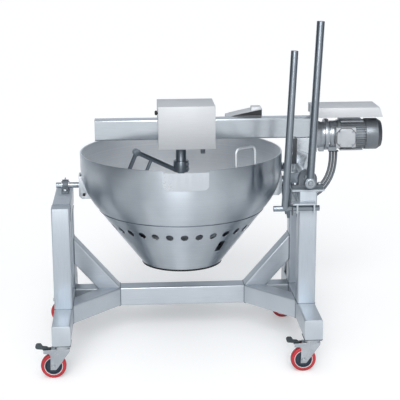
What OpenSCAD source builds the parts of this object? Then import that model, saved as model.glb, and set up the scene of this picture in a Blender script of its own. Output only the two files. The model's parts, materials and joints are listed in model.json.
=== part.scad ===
// Tilting cooking mixer. A dished bowl with a vented conical skirt hangs on two trunnions
// in a castored tube frame. A motor-driven scraper hangs from an arm that lifts clear of it.
// Every module is drawn about the bowl: X across, Y to the back, Z up from the floor,
// and place() then brings the middle of the machine's footprint to the origin.

/* [Bowl] */
// Outside diameter of the bowl at its rim
bowl_d = 1050; // [1035:5:1060]
// Height of the rim above the tilting axis
rim_up = 179; // [168:1:186]
// Height of the straight band under the rim
band_h = 72; // [64:1:80]
// Depth of the dished part below the band
dish_h = 400; // [390:1:406]
// Sheet thickness of the bowl
bowl_t = 4; // [3:0.5:5]
// Width of the rolled bead along the rim
bead_w = 8; // [6:1:10]
// Width of the pouring lip
lip_w = 222; // [180:2:240]
// Height of the pouring lip
lip_h = 96; // [70:1:104]
// Corner radius at the bottom of the lip
lip_r = 24; // [16:1:30]
// How far the lip flares out from the bowl
lip_flare = 24; // [16:1:30]
// Depth of the notch that the lip leaves in the rim
lip_notch = 12; // [8:1:20]
// Distance between the feet of the rim handle
handle_w = 124; // [110:1:140]
// Height of the rim handle above the rim
handle_up = 93; // [80:1:100]
// Thickness of the handle's rod
handle_rod = 13; // [10:1:14]
// Turn of the handle from the front towards the right, in degrees
handle_turn = 36; // [30:1:45]

/* [Skirt] */
// Distance of the skirt's top edge below the tilting axis
skirt_drop = 121; // [112:1:126]
// Height of the skirt
skirt_h = 289; // [280:1:300]
// Outside diameter of the skirt at its bottom
skirt_foot_d = 426; // [410:2:440]
// Sheet thickness of the skirt
skirt_t = 3; // [2:0.5:4]
// Number of round vents in the skirt
vent_count = 32; // [24:1:36]
// Diameter of a vent
vent_d = 36; // [28:1:40]
// Distance of the vents below the skirt's top edge
vent_drop = 73; // [65:1:80]
// Width of the lighting port
port_w = 44; // [36:1:50]
// Height of the lighting port
port_h = 56; // [44:1:60]
// Turn of the lighting port from the front, in degrees
port_turn = 37; // [34:1:40]
// Height of the base ring
base_ring_h = 10; // [6:1:14]
// Radius of the burner ring
burner_r = 120; // [100:2:130]
// Pipe diameter of the burner ring
burner_pipe = 26; // [20:1:30]

/* [Trunnions] */
// Diameter of the trunnion pins
pin_d = 30; // [25:1:32]
// Distance of the left bracket's face from the bowl
left_bracket_gap = 9; // [8:1:12]
// Distance of the right bracket's face from the bowl
right_bracket_gap = 1; // [1:0.5:3]
// Plate thickness of the bowl's brackets
bracket_t = 8; // [6:1:10]
// Width of a bracket from front to back
bracket_w = 96; // [86:1:104]
// Diameter of the locking pin hole in the left bracket
lock_hole_d = 20; // [14:1:20]

/* [Frame] */
// Width of the square tubes
tube_w = 90; // [84:1:96]
// Wall thickness of the tubes
tube_t = 4; // [3:0.5:5]
// Corner radius of the tubes
edge_r = 8; // [6:1:10]
// Height of the foot tubes and of the centre beam
foot_h = 100; // [94:1:106]
// Air between the bowl and the side frames
side_gap = 44; // [42:1:52]
// Height of the castors
castor_h = 177; // [174:1:184]
// Height of the side posts above the feet
post_h = 520; // [510:1:528]
// Distance of the front post's face in front of the tilting axis
post_front = 383; // [370:1:395]
// Distance of the feet's front ends in front of the tilting axis
foot_front = 635; // [620:5:650]
// Distance of the feet's rear ends behind the tilting axis
foot_rear = 251; // [245:1:265]
// How far the centre beam's top lies below the foot tubes' top
beam_down = 5; // [4:1:10]
// Where the braces and diagonals leave the beam, from its middle
fork_x = 330; // [315:1:345]
// Slope of the braces, in degrees
brace_slope = 49; // [47:1:51]
// Angle of the front diagonals to the beam, in degrees
diagonal_turn = 48; // [46:1:50]
// Depth of the rear struts
strut_d = 60; // [50:1:70]
// Height at which the rear struts meet the posts
strut_top = 200; // [180:1:215]
// Height of the risers that carry the arm above the posts
riser_h = 65; // [62:1:75]
// Thickness of bearing plates and of the bowl's shelf
plate_t = 8; // [6:1:10]
// Length of the bearing plates across the machine
plate_l = 162; // [160:1:176]
// Distance of the rear riser's middle behind the tilting axis
riser_back = 135; // [130:1:150]

/* [Bearing blocks] */
// Height of the bowl's bearing blocks up to the bore
pot_block_h = 31; // [30:1:34]
// Length of the bowl's bearing blocks
pot_block_l = 130; // [124:1:140]
// Width of the bowl's bearing blocks
pot_block_w = 38; // [36:1:40]
// Height of the arm's bearing blocks up to the bore
arm_block_h = 48; // [46:1:52]
// Length of the arm's bearing blocks
arm_block_l = 156; // [150:1:160]
// Width of the arm's bearing blocks
arm_block_w = 48; // [42:1:54]
// Diameter of the bolts in the blocks
bolt_d = 12; // [10:1:12]
// Clearance between a shaft and its bore, on the radius
fit = 0.05; // [0.03:0.01:0.08]

/* [Lifting arm] */
// Diameter of the arm's shaft
shaft_d = 35; // [30:1:38]
// Height of the arm beam
arm_h = 106; // [90:1:112]
// Width of the arm beam and its neck
arm_w = 80; // [74:1:84]
// Gap between the rim and the arm beam's underside
arm_gap = 60; // [56:1:75]
// Reach of the beam beyond the bowl's middle
arm_reach = 445; // [420:5:470]
// Distance of the neck's left face from the shaft
neck_in = 22; // [22:1:26]
// Width of the neck along the beam
neck_l = 100; // [90:1:106]
// Distance of the neck's lower end below the shaft
neck_drop = 27; // [24:1:32]
// Reach of the head cover to the left of the bowl's middle
head_left = 120; // [112:1:130]
// Reach of the head cover to the right of the bowl's middle
head_right = 172; // [165:1:180]
// Depth of the head cover from front to back
head_w = 260; // [240:2:280]
// Height of the head cover
head_h = 221; // [205:1:230]
// How far the head cover hangs below the beam
head_drop = 34; // [30:1:38]
// Sheet thickness of the covers
cover_t = 3; // [2:0.5:4]
// Length of the long lever, from the shaft
long_lever = 787; // [700:5:850]
// Outside diameter of the lever tubes
lever_d = 38; // [32:1:40]
// Lean of the levers to the right, in degrees
lever_lean = 2.7; // [0:0.1:4]

/* [Motor] */
// Height of the motor's axis below the middle of the arm beam
motor_drop = 43; // [38:1:50]
// Length of the reducer
reducer_l = 123; // [115:1:135]
// Diameter of the reducer's joint flange
flange_d = 165; // [155:1:170]
// Length of the finned motor body
motor_l = 146; // [130:1:170]
// Diameter of the motor over its fins
motor_d = 152; // [140:1:156]
// Number of fins around the motor
fin_count = 36; // [24:2:44]
// Depth of the fins
fin_h = 10; // [6:1:12]
// Length of the fan cover
fan_l = 85; // [75:1:95]
// Diameter of the fan cover
fan_d = 163; // [156:1:168]
// Width of the terminal box
terminal_w = 103; // [90:1:110]
// Height of the hood above the arm beam
hood_up = 58; // [54:1:68]
// Depth of the hood from front to back
hood_w = 200; // [190:2:220]
// Drop of the hood's sides
hood_side = 50; // [40:1:56]

/* [Stirrer] */
// Diameter of the stirrer's main shaft
stirrer_d = 54; // [46:1:58]
// Diameter of the clamp hub
hub_d = 80; // [76:1:90]
// Height of the clamp hub
hub_h = 58; // [50:1:64]
// Distance of the hub's top below the rim
hub_drop = 57; // [54:1:66]
// Diameter of the lower shaft
lower_d = 36; // [30:1:40]
// Diameter of the inclined arm
rod_d = 24; // [18:1:26]
// Distance of the arm's elbow from the shaft
elbow_out = 240; // [225:1:250]
// Height of the elbow above the rim
elbow_up = 3; // [-6:1:8]
// Distance of the inner hanging rod from the shaft, at the arm
inner_out = 160; // [140:1:175]
// How far the hanging rods run outwards on each millimetre of their drop
rod_slope = 0.45; // [0.35:0.05:0.6]
// Turn of the whole scraper towards the front, in degrees
scraper_turn = 15; // [12:1:20]
// Gap between the scraper blades and the bowl's sheet
scrape_gap = 3; // [2:0.5:5]
// Width of the scraper blades across the wall
blade_w = 23; // [20:1:26]
// Width of the curved scraper bar
bar_w = 22; // [18:1:26]
// Thickness of the scraper bar
bar_t = 12; // [8:1:14]
// Number of blades along the bar
blade_count = 5; // [3:1:7]

/* [Lock lever] */
// Diameter of the cross bar
cross_d = 28; // [24:1:30]
// Length of the cross bar
cross_l = 228; // [215:1:240]
// Length of the lever tube, from the cross bar
lock_lever_l = 778; // [700:5:800]
// Distance of the cross bar in front of the post
cross_out = 37; // [34:1:42]
// Height of the cross bar above the middle of the post's top
cross_drop = 10; // [8:1:14]

/* [Castors] */
// Diameter of the wheels
wheel_d = 125; // [120:1:130]
// Width of the wheels
wheel_w = 32; // [28:1:36]
// Trail of the wheels behind their swivel
trail = 43; // [40:1:46]
// Distance of a castor's plate from the end of its foot
castor_in = 5; // [3:1:9]
// Reach of the brake pedal from the swivel
pedal_reach = 129; // [124:1:134]
// Thickness of the fork's plates
fork_t = 3; // [2.5:0.5:4]
// Diameter of the axles
axle_d = 12; // [10:1:14]
// Diameter of the kingpins
king_d = 16; // [14:1:18]

/* [Hidden] */
$fn = 64;
steel = "#c3c8ce";
shade = "#8d959d";
bright = "#d9dde1";
dark = "#3a4048";

// Frame heights and places
foot_top = castor_h + foot_h;
beam_top = foot_top - beam_down;
frame_top = foot_top + post_h;
bowl_r = bowl_d / 2;
post_x = bowl_r + side_gap + tube_w / 2;
post_in = post_x - tube_w / 2;
post_out = post_x + tube_w / 2;
post_y = -post_front + tube_w / 2;
stand_top = frame_top + riser_h;
plate_top = stand_top + plate_t;

// Bowl heights
axis_z = frame_top + pot_block_h;
rim_z = axis_z + rim_up;
band_z = rim_z - band_h;
skirt_top = axis_z - skirt_drop;
skirt_foot = skirt_top - skirt_h;
skirt_fit = 0.3;
flat_r = 48;
skirt_top_r = dish_r(skirt_top, 0) + skirt_fit + skirt_t;
skirt_foot_r = skirt_foot_d / 2;
skirt_slope = (skirt_top_r - skirt_foot_r) / skirt_h;
burner_z = skirt_foot + 52;
left_face = bowl_r + left_bracket_gap;
right_face = bowl_r + right_bracket_gap;
bracket_low = 64;
bracket_high = 56;

// Bearing blocks
left_block_x = -(post_x - 9);
right_block_x = right_face + 6 + pot_block_w / 2;
shelf_in = right_face + 2;
shelf_w = pot_block_l + 20;
arm_x = post_x;
arm_z = plate_top + arm_block_h;
shaft_front = post_front + 62;
shaft_rear = riser_back + arm_block_w / 2 + 6;
eye_y = -(shaft_front - 15);
eye_w = 36;
eye_d = 54;

// Arm
arm_low = rim_z + arm_gap;
arm_top = arm_low + arm_h;
neck_x0 = arm_x - neck_in;
neck_x1 = neck_x0 + neck_l;
cheek_w = arm_w / 2 + plate_t;
motor_z = arm_low + arm_h / 2 - motor_drop;
motor_x0 = neck_x1 + reducer_l;
fan_x0 = motor_x0 + motor_l;
fan_x1 = fan_x0 + fan_l;
head_low = arm_low - head_drop;
head_top = head_low + head_h;
hood_top = arm_top + hood_up;
hood_x0 = neck_x1 - 12;
hood_x1 = fan_x1 - 8;

// Stirrer
stirrer_top = arm_low - 6;
hub_top = rim_z - hub_drop;
hub_low = hub_top - hub_h;
bar_outer = bowl_t + scrape_gap + blade_w;
bar_inner = bar_outer + bar_w;
elbow = [elbow_out, rim_z + elbow_up];
elbow_root = [hub_d / 2 - 4, hub_top - 45];
arm_rise = (elbow[1] - elbow_root[1]) / (elbow[0] - elbow_root[0]);
inner_root = [inner_out, elbow[1] - (elbow[0] - inner_out) * arm_rise];
bar_start = 64;
bar_stop = 3;
boss_d = lower_d + 26;
boss_h = 34;
boss_low = band_z - dish_h + bar_outer + 6;

// Castors: [x, y] of each swivel
castor_front = -foot_front + castor_in + tube_w / 2;
castor_back = foot_rear - castor_in - tube_w / 2;
wheel_r = wheel_d / 2;
fork_gap = 3;
leg_y = wheel_w / 2 + fork_gap;
fork_top = castor_h - 5.3;
fork_plate = wheel_d + 26;
fork_end = 38;
fork_wing = -(trail + 47);
head_d = 68;
pedal_x = -(trail + 27);
pedal_z = fork_plate - 11;
pedal_pin = 6;

// Lock lever
cross_y = -(post_front + cross_out);
cross_z = frame_top - cross_drop;
cross_x1 = post_out + 5;
cross_x0 = cross_x1 - cross_l;
lock_x = cross_x0 + 57;

// The middle of the footprint, which place() brings to the origin
mid_x = (fan_x1 - (post_x + pedal_reach)) / 2;
mid_y = (bowl_r - foot_front) / 2;

// Cable route from the reducer down to the top tube, in X and Z, and the strands' places
cable_route = [[800, 992], [800, 968], [799, 940], [796, 911], [790, 881], [780, 852],
    [766, 825], [748, 800], [727, 779], [703, 762], [680, 752]];
cable_d = 14;
cable_step = 15.5;
cable_y = -10;
gland_x = 680;

module place() {
    translate([-mid_x, -mid_y, 0]) children();
}

// Radius of the dished bowl at height z, drawn in by off
function dish_r(z, off) = (bowl_r - off) * sqrt(1 - pow((band_z - z) / (dish_h - off), 2));
// A point on the dish, t degrees from its lowest point
function dish_at(t, off) = [(bowl_r - off) * sin(t), band_z - (dish_h - off) * cos(t)];

module rounded_rect(w, h, r) {
    square([w - 2 * r, h], center = true);
    square([w, h - 2 * r], center = true);
    for (x = [-1, 1], y = [-1, 1])
        translate([x * (w / 2 - r), y * (h / 2 - r)]) circle(r = r);
}

module tube_profile(w, h) {
    difference() {
        rounded_rect(w, h, edge_r);
        rounded_rect(w - 2 * tube_t, h - 2 * tube_t, edge_r - tube_t);
    }
}

// Tubes by the way they run, w wide and h deep, starting at the origin
module tube_up(w, h, l) {
    linear_extrude(l) tube_profile(w, h);
}
module tube_x(w, h, l) {
    rotate([90, 0, 90]) linear_extrude(l) tube_profile(w, h);
}
module tube_y(w, h, l) {
    rotate([-90, 0, 0]) linear_extrude(l) tube_profile(w, h);
}

// A block between two corners
module block(a, b) {
    translate(a) cube(b - a);
}

// A round rod in the plane of the arm, between two points [x, z]
module rod(a, b, d) {
    run = b - a;
    translate([a[0], 0, a[1]])
        rotate([0, atan2(run[0], run[1]), 0]) cylinder(h = norm(run), d = d);
}

// Feet

module foot(side) {
    translate([side * post_x, 0, castor_h + foot_h / 2]) {
        translate([0, -foot_front, 0]) tube_y(tube_w, foot_h, foot_front + foot_rear);
        for (y = [-foot_front, foot_rear - tube_t])
            translate([0, y, 0])
                rotate([-90, 0, 0]) linear_extrude(tube_t) rounded_rect(tube_w, foot_h, edge_r);
    }
}
module left_foot() color(steel) place() foot(-1);
module right_foot() color(steel) place() foot(1);

module centre_beam() color(steel) place()
    translate([-post_in, 0, beam_top - foot_h / 2]) tube_x(tube_w, foot_h, 2 * post_in);

// A front diagonal on the right, cut flush with the beam and the foot
module diagonal() {
    turn = diagonal_turn;
    intersection() {
        translate([fork_x, -tube_w / 2, beam_top - foot_h / 2])
            rotate([0, 0, -turn]) translate([-tube_w, tube_w / 2, 0])
                tube_x(tube_w, foot_h, post_front + 2 * tube_w);
        block([0, -foot_front, 0], [post_in, -tube_w / 2, beam_top + 1]);
    }
}
module left_diagonal() color(shade) place() mirror([1, 0, 0]) diagonal();
module right_diagonal() color(shade) place() diagonal();

// A brace on the right, cut flush with the beam and the post
module brace() {
    intersection() {
        translate([fork_x, 0, beam_top])
            rotate([0, -brace_slope, 0]) translate([-tube_w, 0, -tube_w / 2])
                tube_x(tube_w, tube_w, post_in);
        block([0, -tube_w, beam_top], [post_in, tube_w, frame_top]);
    }
}
module left_brace() color(steel) place() mirror([1, 0, 0]) brace();
module right_brace() color(steel) place() brace();

// Struts from the rear of the feet up to the backs of the centre posts
module rear_struts() color(shade) place()
    for (side = [-1, 1]) intersection() {
        translate([side * post_x, tube_w / 2, foot_top + strut_top])
            rotate([-45, 0, 0]) translate([0, -tube_w, -strut_d / 2])
                tube_y(tube_w, strut_d, post_h);
        block([side * post_x - tube_w, tube_w / 2, foot_top],
            [side * post_x + tube_w, foot_rear, frame_top]);
    }

// Posts and top tubes

module post(side, y, top) {
    translate([side * post_x, y, foot_top]) tube_up(tube_w, tube_w, top - foot_top);
}
module post_cap(side, y, top) {
    translate([side * post_x, y, top - tube_t])
        linear_extrude(tube_t) rounded_rect(tube_w, tube_w, edge_r);
}
module left_front_post() color(steel) place() {
    post(-1, post_y, frame_top);
    post_cap(-1, post_y, frame_top);
}
module right_front_post() color(steel) place() post(1, post_y, stand_top);
module left_centre_post() color(shade) place() post(-1, 0, frame_top - tube_w);
module right_centre_post() color(shade) place() post(1, 0, frame_top - tube_w);

module top_tube(side, rear) {
    start = post_y + tube_w / 2;
    translate([side * post_x, 0, frame_top - tube_w / 2]) {
        translate([0, start, 0]) tube_y(tube_w, tube_w, rear - start);
        translate([0, rear - tube_t, 0])
            rotate([-90, 0, 0]) linear_extrude(tube_t) rounded_rect(tube_w, tube_w, edge_r);
    }
}
module left_top_tube() color(steel) place() top_tube(-1, pot_block_l / 2 + 20);
module right_top_tube() color(steel) place() {
    top_tube(1, riser_back + tube_w / 2);
    // gland plate for the cables on the outer face
    block([post_out - 1, cable_y - 16, frame_top - 70],
        [gland_x, cable_y + 16, frame_top - 20]);
}

// Stands and bearing blocks

module pot_shelf() color(shade) place() {
    block([shelf_in, -shelf_w / 2, frame_top - plate_t], [post_in, shelf_w / 2, frame_top]);
    for (y = [-tube_w / 2, tube_w / 2 - plate_t])
        translate([0, y + plate_t, 0]) rotate([90, 0, 0]) linear_extrude(plate_t)
            polygon([[shelf_in + 4, frame_top - plate_t], [post_in, frame_top - plate_t],
                [post_in, frame_top - 160], [post_in - 12, frame_top - 160]]);
}

module bearing_plate(y) {
    block([arm_x - plate_l / 2, y - tube_w / 2, stand_top],
        [arm_x + plate_l / 2, y + tube_w / 2, plate_top]);
}
module bearing_stands() color(steel) place() {
    bearing_plate(post_y);
    bearing_plate(riser_back);
    translate([arm_x, riser_back, frame_top]) tube_up(tube_w, tube_w, riser_h);
}

// A bearing block with its bore along X through the origin
module bearing_block(l, w, h, bore_d) {
    foot_t = h * 0.4;
    round_r = h * 0.96;
    difference() {
        union() {
            block([-w / 2, -l / 2, -h], [w / 2, l / 2, -h + foot_t]);
            rotate([0, 90, 0]) cylinder(h = w * 0.84, r = round_r, center = true);
            block([-w * 0.42, -round_r, -h], [w * 0.42, round_r, -h * 0.2]);
            rotate([0, 90, 0]) cylinder(h = w, r = bore_d / 2 + 6, center = true);
        }
        rotate([0, 90, 0]) cylinder(h = w + 2, d = bore_d, center = true);
        for (y = bolt_places(l))
            translate([0, y, -h - 1]) cylinder(h = foot_t + 2, d = bolt_d + 1);
        // below the base
        block([-w, -l, -2 * h], [w, l, -h]);
    }
}
// Bolt places along a bearing block's base
function bolt_places(l) = [-(l / 2 - 17), l / 2 - 17];

module pot_block(x) {
    translate([x, 0, axis_z]) bearing_block(pot_block_l, pot_block_w, pot_block_h, pin_d + 2 * fit);
}
module arm_block(y) {
    translate([arm_x, y, arm_z]) rotate([0, 0, 90])
        bearing_block(arm_block_l, arm_block_w, arm_block_h, shaft_d + 2 * fit);
}
module pot_block_left() color(dark) place() pot_block(left_block_x);
module pot_block_right() color(dark) place() pot_block(right_block_x);
module arm_block_front() color(dark) place() arm_block(post_y);
module arm_block_rear() color(dark) place() arm_block(riser_back);

// One bolt that holds down a block's foot: head, washer and shank
module bolt(foot_t) {
    cylinder(h = foot_t, d = bolt_d - 0.4);
    translate([0, 0, foot_t]) cylinder(h = 2, d = bolt_d * 1.9);
    translate([0, 0, foot_t + 2]) cylinder(h = bolt_d * 0.6, d = bolt_d * 1.7, $fn = 6);
}
module block_bolts() color(bright) place() {
    for (x = [left_block_x, right_block_x], y = bolt_places(pot_block_l))
        translate([x, y, frame_top]) bolt(pot_block_h * 0.4);
    for (y = [post_y, riser_back], x = bolt_places(arm_block_l))
        translate([arm_x + x, y, plate_top]) bolt(arm_block_h * 0.4);
}

// Bracket on the right front post that carries the cross bar
module lever_bracket() color(steel) place() {
    front = -post_front;
    ear_out = cross_y - cross_d / 2 - 8;
    difference() {
        union() {
            block([post_in - 29, front - 6, cross_z - 27], [post_in + 79, front, cross_z + 28]);
            block([post_in - 36, ear_out, cross_z + 20], [post_in + 74, front - 6, cross_z + 28]);
            for (x = [post_in - 21, post_in + 63])
                block([x, ear_out, cross_z - 22], [x + plate_t, front - 6, cross_z + 20]);
        }
        translate([post_in - 60, cross_y, cross_z])
            rotate([0, 90, 0]) cylinder(h = 200, d = cross_d + 2 * fit);
    }
}

// Castor plates under the feet, each with its kingpin
module castor_plates() color(bright) place()
    for (x = [-post_x, post_x], y = [castor_front, castor_back]) translate([x, y, 0]) {
        block([-tube_w / 2, -tube_w / 2, castor_h - 5], [tube_w / 2, tube_w / 2, castor_h]);
        translate([0, 0, fork_plate - 6]) cylinder(h = castor_h - fork_plate + 2, d = king_d);
    }

// Bowl

// The dish's outline from its flat middle up to the band, drawn in by off
function dish_line(off) = let (steps = 16, flat_t = asin(flat_r / bowl_r))
    [for (i = [0 : steps]) dish_at(flat_t + (90 - flat_t) * i / steps, off)];

// The full body inside the bowl's outer surface, grown by more
module bowl_body(more) {
    line = dish_line(-more);
    rotate_extrude($fn = 96) polygon(concat([[0, line[0][1]]], line,
        [[bowl_r + more, rim_z + 1], [0, rim_z + 1]]));
}
module bowl() color(steel) place() {
    outer = dish_line(0);
    inner = dish_line(bowl_t);
    difference() {
        rotate_extrude($fn = 96) polygon(concat(
            [[0, outer[0][1]]], outer,
            [[bowl_r, rim_z - 2], [bowl_r - 2, rim_z], [bowl_r - bead_w + 2, rim_z],
                [bowl_r - bead_w, rim_z - 2], [bowl_r - bead_w, rim_z - 6],
                [bowl_r - bowl_t, rim_z - 10]],
            [for (i = [len(inner) - 1 : -1 : 0]) inner[i]], [[0, inner[0][1]]]));
        block([-lip_w / 2 + 3, -bowl_r - 1, rim_z - lip_notch], [lip_w / 2 - 3, 0, rim_z + 1]);
    }
}

// The sheet cone of the skirt, drawn in by off
module skirt_cone(off) {
    translate([0, 0, skirt_foot])
        cylinder(h = skirt_h, r1 = skirt_foot_r - off, r2 = skirt_top_r - off, $fn = 96);
}
module skirt() color(steel) place() {
    vent_z = skirt_top - vent_drop;
    vent_r = skirt_top_r - skirt_slope * vent_drop;
    port_z = vent_z - 48;
    tilt = atan(skirt_slope);
    difference() {
        skirt_cone(0);
        translate([0, 0, skirt_foot - 0.01])
            cylinder(h = skirt_h + 0.02, r1 = skirt_foot_r - skirt_t, r2 = skirt_top_r - skirt_t,
                $fn = 96);
        for (i = [0 : vent_count - 1])
            rotate([0, 0, -90 + 360 * (i + 0.41) / vent_count])
                translate([vent_r, 0, vent_z]) rotate([0, 90 + tilt, 0])
                    cylinder(h = 40, d = vent_d, center = true);
        rotate([0, 0, -90 + port_turn])
            translate([vent_r - skirt_slope * 48, 0, port_z]) rotate([0, tilt, 0])
                cube([30, port_w, port_h], center = true);
    }
}

module base_ring() color(dark) place()
    translate([0, 0, skirt_foot - base_ring_h]) difference() {
        cylinder(h = base_ring_h, r = skirt_foot_r - 1, $fn = 96);
        translate([0, 0, -1]) cylinder(h = base_ring_h + 2, r = skirt_foot_r - 22, $fn = 96);
    }

// The lip is a flared sheet with cheeks, open to the notch in the rim
module lip_front(w, h, r) {
    translate([0, 0, rim_z - h]) rotate([90, 0, 0]) linear_extrude(bowl_d) {
        translate([-w / 2, r]) square([w, h - r + 2]);
        translate([-w / 2 + r, 0]) square([w - 2 * r, r]);
        for (x = [-1, 1]) translate([x * (w / 2 - r), r]) circle(r = r);
    }
}
module pouring_lip() color(bright) place() difference() {
    intersection() {
        lip_front(lip_w, lip_h, lip_r);
        translate([0, 0, rim_z - lip_h]) cylinder(h = lip_h - 4, r1 = bowl_r + 3,
            r2 = bowl_r + lip_flare, $fn = 96);
    }
    bowl_body(0.3);
    intersection() {
        lip_front(lip_w - 6, lip_h - 3, lip_r - 3);
        translate([0, 0, rim_z - lip_h]) cylinder(h = lip_h + 4, r1 = bowl_r,
            r2 = bowl_r + lip_flare - 1.5, $fn = 96);
    }
}

// A bent rod: two feet inside the wall and a grip across them
module rim_handle() color(bright) place() {
    bend = 24;
    foot_r = bowl_r - bead_w - handle_rod / 2 - 2;
    half = handle_w / 2;
    reach = sqrt(pow(foot_r, 2) - pow(half, 2));
    top = rim_z + handle_up - handle_rod / 2;
    rotate([0, 0, handle_turn]) translate([0, -reach, 0]) {
        for (side = [-1, 1]) {
            translate([side * half, 0, rim_z - 40])
                cylinder(h = top - bend - rim_z + 40, d = handle_rod, $fn = 32);
            translate([side * (half - bend), 0, top - bend])
                rotate([90, 0, 0]) rotate([0, 0, side > 0 ? 0 : 90])
                    rotate_extrude(angle = 90, $fn = 32)
                        translate([bend, 0]) circle(d = handle_rod, $fn = 32);
            // weld pad that joins each foot to the wall
            intersection() {
                translate([side * half, -10, rim_z - 34]) cube([8, 20, 12], center = true);
                translate([0, reach, rim_z - 60])
                    cylinder(h = 60, r = bowl_r - bowl_t - 0.2, $fn = 96);
            }
        }
        translate([-half + bend, 0, top]) rotate([0, 90, 0])
            cylinder(h = handle_w - 2 * bend, d = handle_rod, $fn = 32);
    }
}

// Channel bracket between the bowl and a trunnion pin, on the right
module pot_bracket(face) {
    difference() {
        block([face - 64, -bracket_w / 2, axis_z - bracket_low],
            [face, bracket_w / 2, axis_z + bracket_high]);
        block([0, -bracket_w / 2 + bracket_t, 0],
            [face - bracket_t, bracket_w / 2 - bracket_t, rim_z]);
        bowl_body(0.3);
        // the lower outer corner is cut off
        translate([face, 0, axis_z - bracket_low]) rotate([0, 45, 0])
            cube([22, bracket_w + 2, 22], center = true);
    }
}
module pot_brackets() color(bright) place() {
    difference() {
        mirror([1, 0, 0]) pot_bracket(left_face);
        translate([-(left_face - 26), 0, axis_z - 41])
            rotate([90, 0, 0]) cylinder(h = bracket_w + 2, d = lock_hole_d, center = true);
    }
    pot_bracket(right_face);
}
module trunnion_pins() color(bright) place() {
    left_end = -left_block_x + pot_block_w / 2 + 30;
    right_end = right_block_x + pot_block_w / 2 + 8;
    translate([-left_end, 0, axis_z]) rotate([0, 90, 0])
        cylinder(h = left_end - left_face, d = pin_d);
    translate([right_face, 0, axis_z]) rotate([0, 90, 0])
        cylinder(h = right_end - right_face, d = pin_d);
}

// Ring burner on three bars under the dish
module burner() color(dark) place() {
    translate([0, 0, burner_z]) rotate_extrude($fn = 48)
        translate([burner_r, 0]) circle(d = burner_pipe, $fn = 24);
    intersection() {
        for (a = [30, 150, 270]) rotate([0, 0, a])
            block([burner_r - 8, -12, burner_z - burner_pipe / 2 - 4],
                [bowl_r, 12, burner_z - burner_pipe / 2 + 3]);
        skirt_cone(skirt_t + 0.2);
    }
    for (a = [0 : 15 : 345]) rotate([0, 0, a])
        translate([burner_r, 0, burner_z + burner_pipe / 2 - 2]) cylinder(h = 6, d = 7, $fn = 16);
}

// Arm

module arm_beam() color(steel) place() {
    middle = (arm_low + arm_top) / 2;
    translate([-arm_reach, 0, middle]) tube_x(arm_w, arm_h, arm_reach + neck_x1);
    for (x = [-arm_reach, neck_x1 - tube_t])
        translate([x, 0, middle])
            rotate([90, 0, 90]) linear_extrude(tube_t) rounded_rect(arm_w, arm_h, edge_r);
}

module arm_neck() color(steel) place() {
    low = arm_z - neck_drop;
    difference() {
        union() {
            translate([(neck_x0 + neck_x1) / 2, 0, low]) tube_up(neck_l, arm_w, arm_low - low);
            translate([(neck_x0 + neck_x1) / 2, 0, low])
                linear_extrude(tube_t) rounded_rect(neck_l, arm_w, edge_r);
            for (y = [-cheek_w, arm_w / 2]) translate([arm_x, y + plate_t, arm_z])
                rotate([90, 0, 0]) linear_extrude(plate_t)
                    polygon([[-48, -36], [48, -36], [48, 66], [-14, 88], [-26, 88], [-48, 48]]);
        }
        translate([arm_x, 0, arm_z]) rotate([90, 0, 0])
            cylinder(h = 2 * cheek_w + 2, d = shaft_d + 2 * fit, center = true);
    }
}

module head_cover() color(steel) place() difference() {
    block([-head_left, -head_w / 2, head_low], [head_right, head_w / 2, head_top]);
    block([-head_left + cover_t, -head_w / 2 + cover_t, head_low - 1],
        [head_right - cover_t, head_w / 2 - cover_t, head_top - cover_t]);
    block([-head_left - 1, -arm_w / 2, head_low - 1], [head_right + 1, arm_w / 2, arm_top]);
}

// Bevel gearbox under the beam, with the closed housing that the stirrer turns in
module gearbox() color(dark) place() {
    difference() {
        union() {
            block([-head_left + 10, -60, arm_low - 12], [head_right - 12, 60, arm_low]);
            translate([0, 0, arm_low - 38]) cylinder(h = 38, d = stirrer_d + 46);
        }
        translate([0, 0, arm_low - 40])
            cylinder(h = stirrer_top - arm_low + 40.3, d = stirrer_d + 2 * fit);
    }
    translate([115, 0, arm_low - 81]) cylinder(h = 69, d = 25);
}

module arm_shaft() color(bright) place()
    translate([arm_x, -shaft_front, arm_z]) rotate([-90, 0, 0])
        cylinder(h = shaft_front + shaft_rear, d = shaft_d);

module long_lever() color(bright) place() translate([arm_x, eye_y, arm_z]) {
    difference() {
        rotate([90, 0, 0]) cylinder(h = eye_w, d = eye_d, center = true);
        rotate([90, 0, 0]) cylinder(h = eye_w + 2, d = shaft_d + 2 * fit, center = true);
    }
    difference() {
        rotate([0, lever_lean, 0]) difference() {
            cylinder(h = long_lever, d = lever_d);
            translate([0, 0, 40]) cylinder(h = long_lever - 44, d = lever_d - 5);
        }
        rotate([90, 0, 0]) cylinder(h = eye_w + 4, d = eye_d - 0.01, center = true);
    }
}

// Motor with its reducer, drawn along X from the neck

module along_motor(x) {
    translate([x, 0, motor_z]) rotate([0, 90, 0]) children();
}
module reducer() color(shade) place() difference() {
    union() {
        block([neck_x1, -78, motor_z - 78], [neck_x1 + 10, 78, motor_z + 78]);
        along_motor(neck_x1 + 10) cylinder(h = reducer_l - 10, d = 132);
        along_motor(neck_x1 + 10) cylinder(h = 26, d1 = 150, d2 = 136);
        along_motor(neck_x1 + 56) cylinder(h = 18, d = flange_d);
        along_motor(neck_x1 + 84) cylinder(h = reducer_l - 84, d = 142);
        // drain boss, and the gland block that the cables leave
        block([neck_x1 + 30, -22, motor_z - 88], [neck_x1 + 56, 22, motor_z - 50]);
        block([neck_x1 + 80, cable_y - 16, motor_z - 85],
            [motor_x0, cable_y + 16, motor_z - 40]);
    }
    for (a = [30 : 60 : 330]) rotate_about_motor(a)
        translate([neck_x1 + 55, flange_d / 2 - 9, 0]) rotate([0, 90, 0])
            cylinder(h = 20, d = 7, $fn = 24);
}
module rotate_about_motor(a) {
    translate([0, 0, motor_z]) rotate([a, 0, 0]) children();
}

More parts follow.
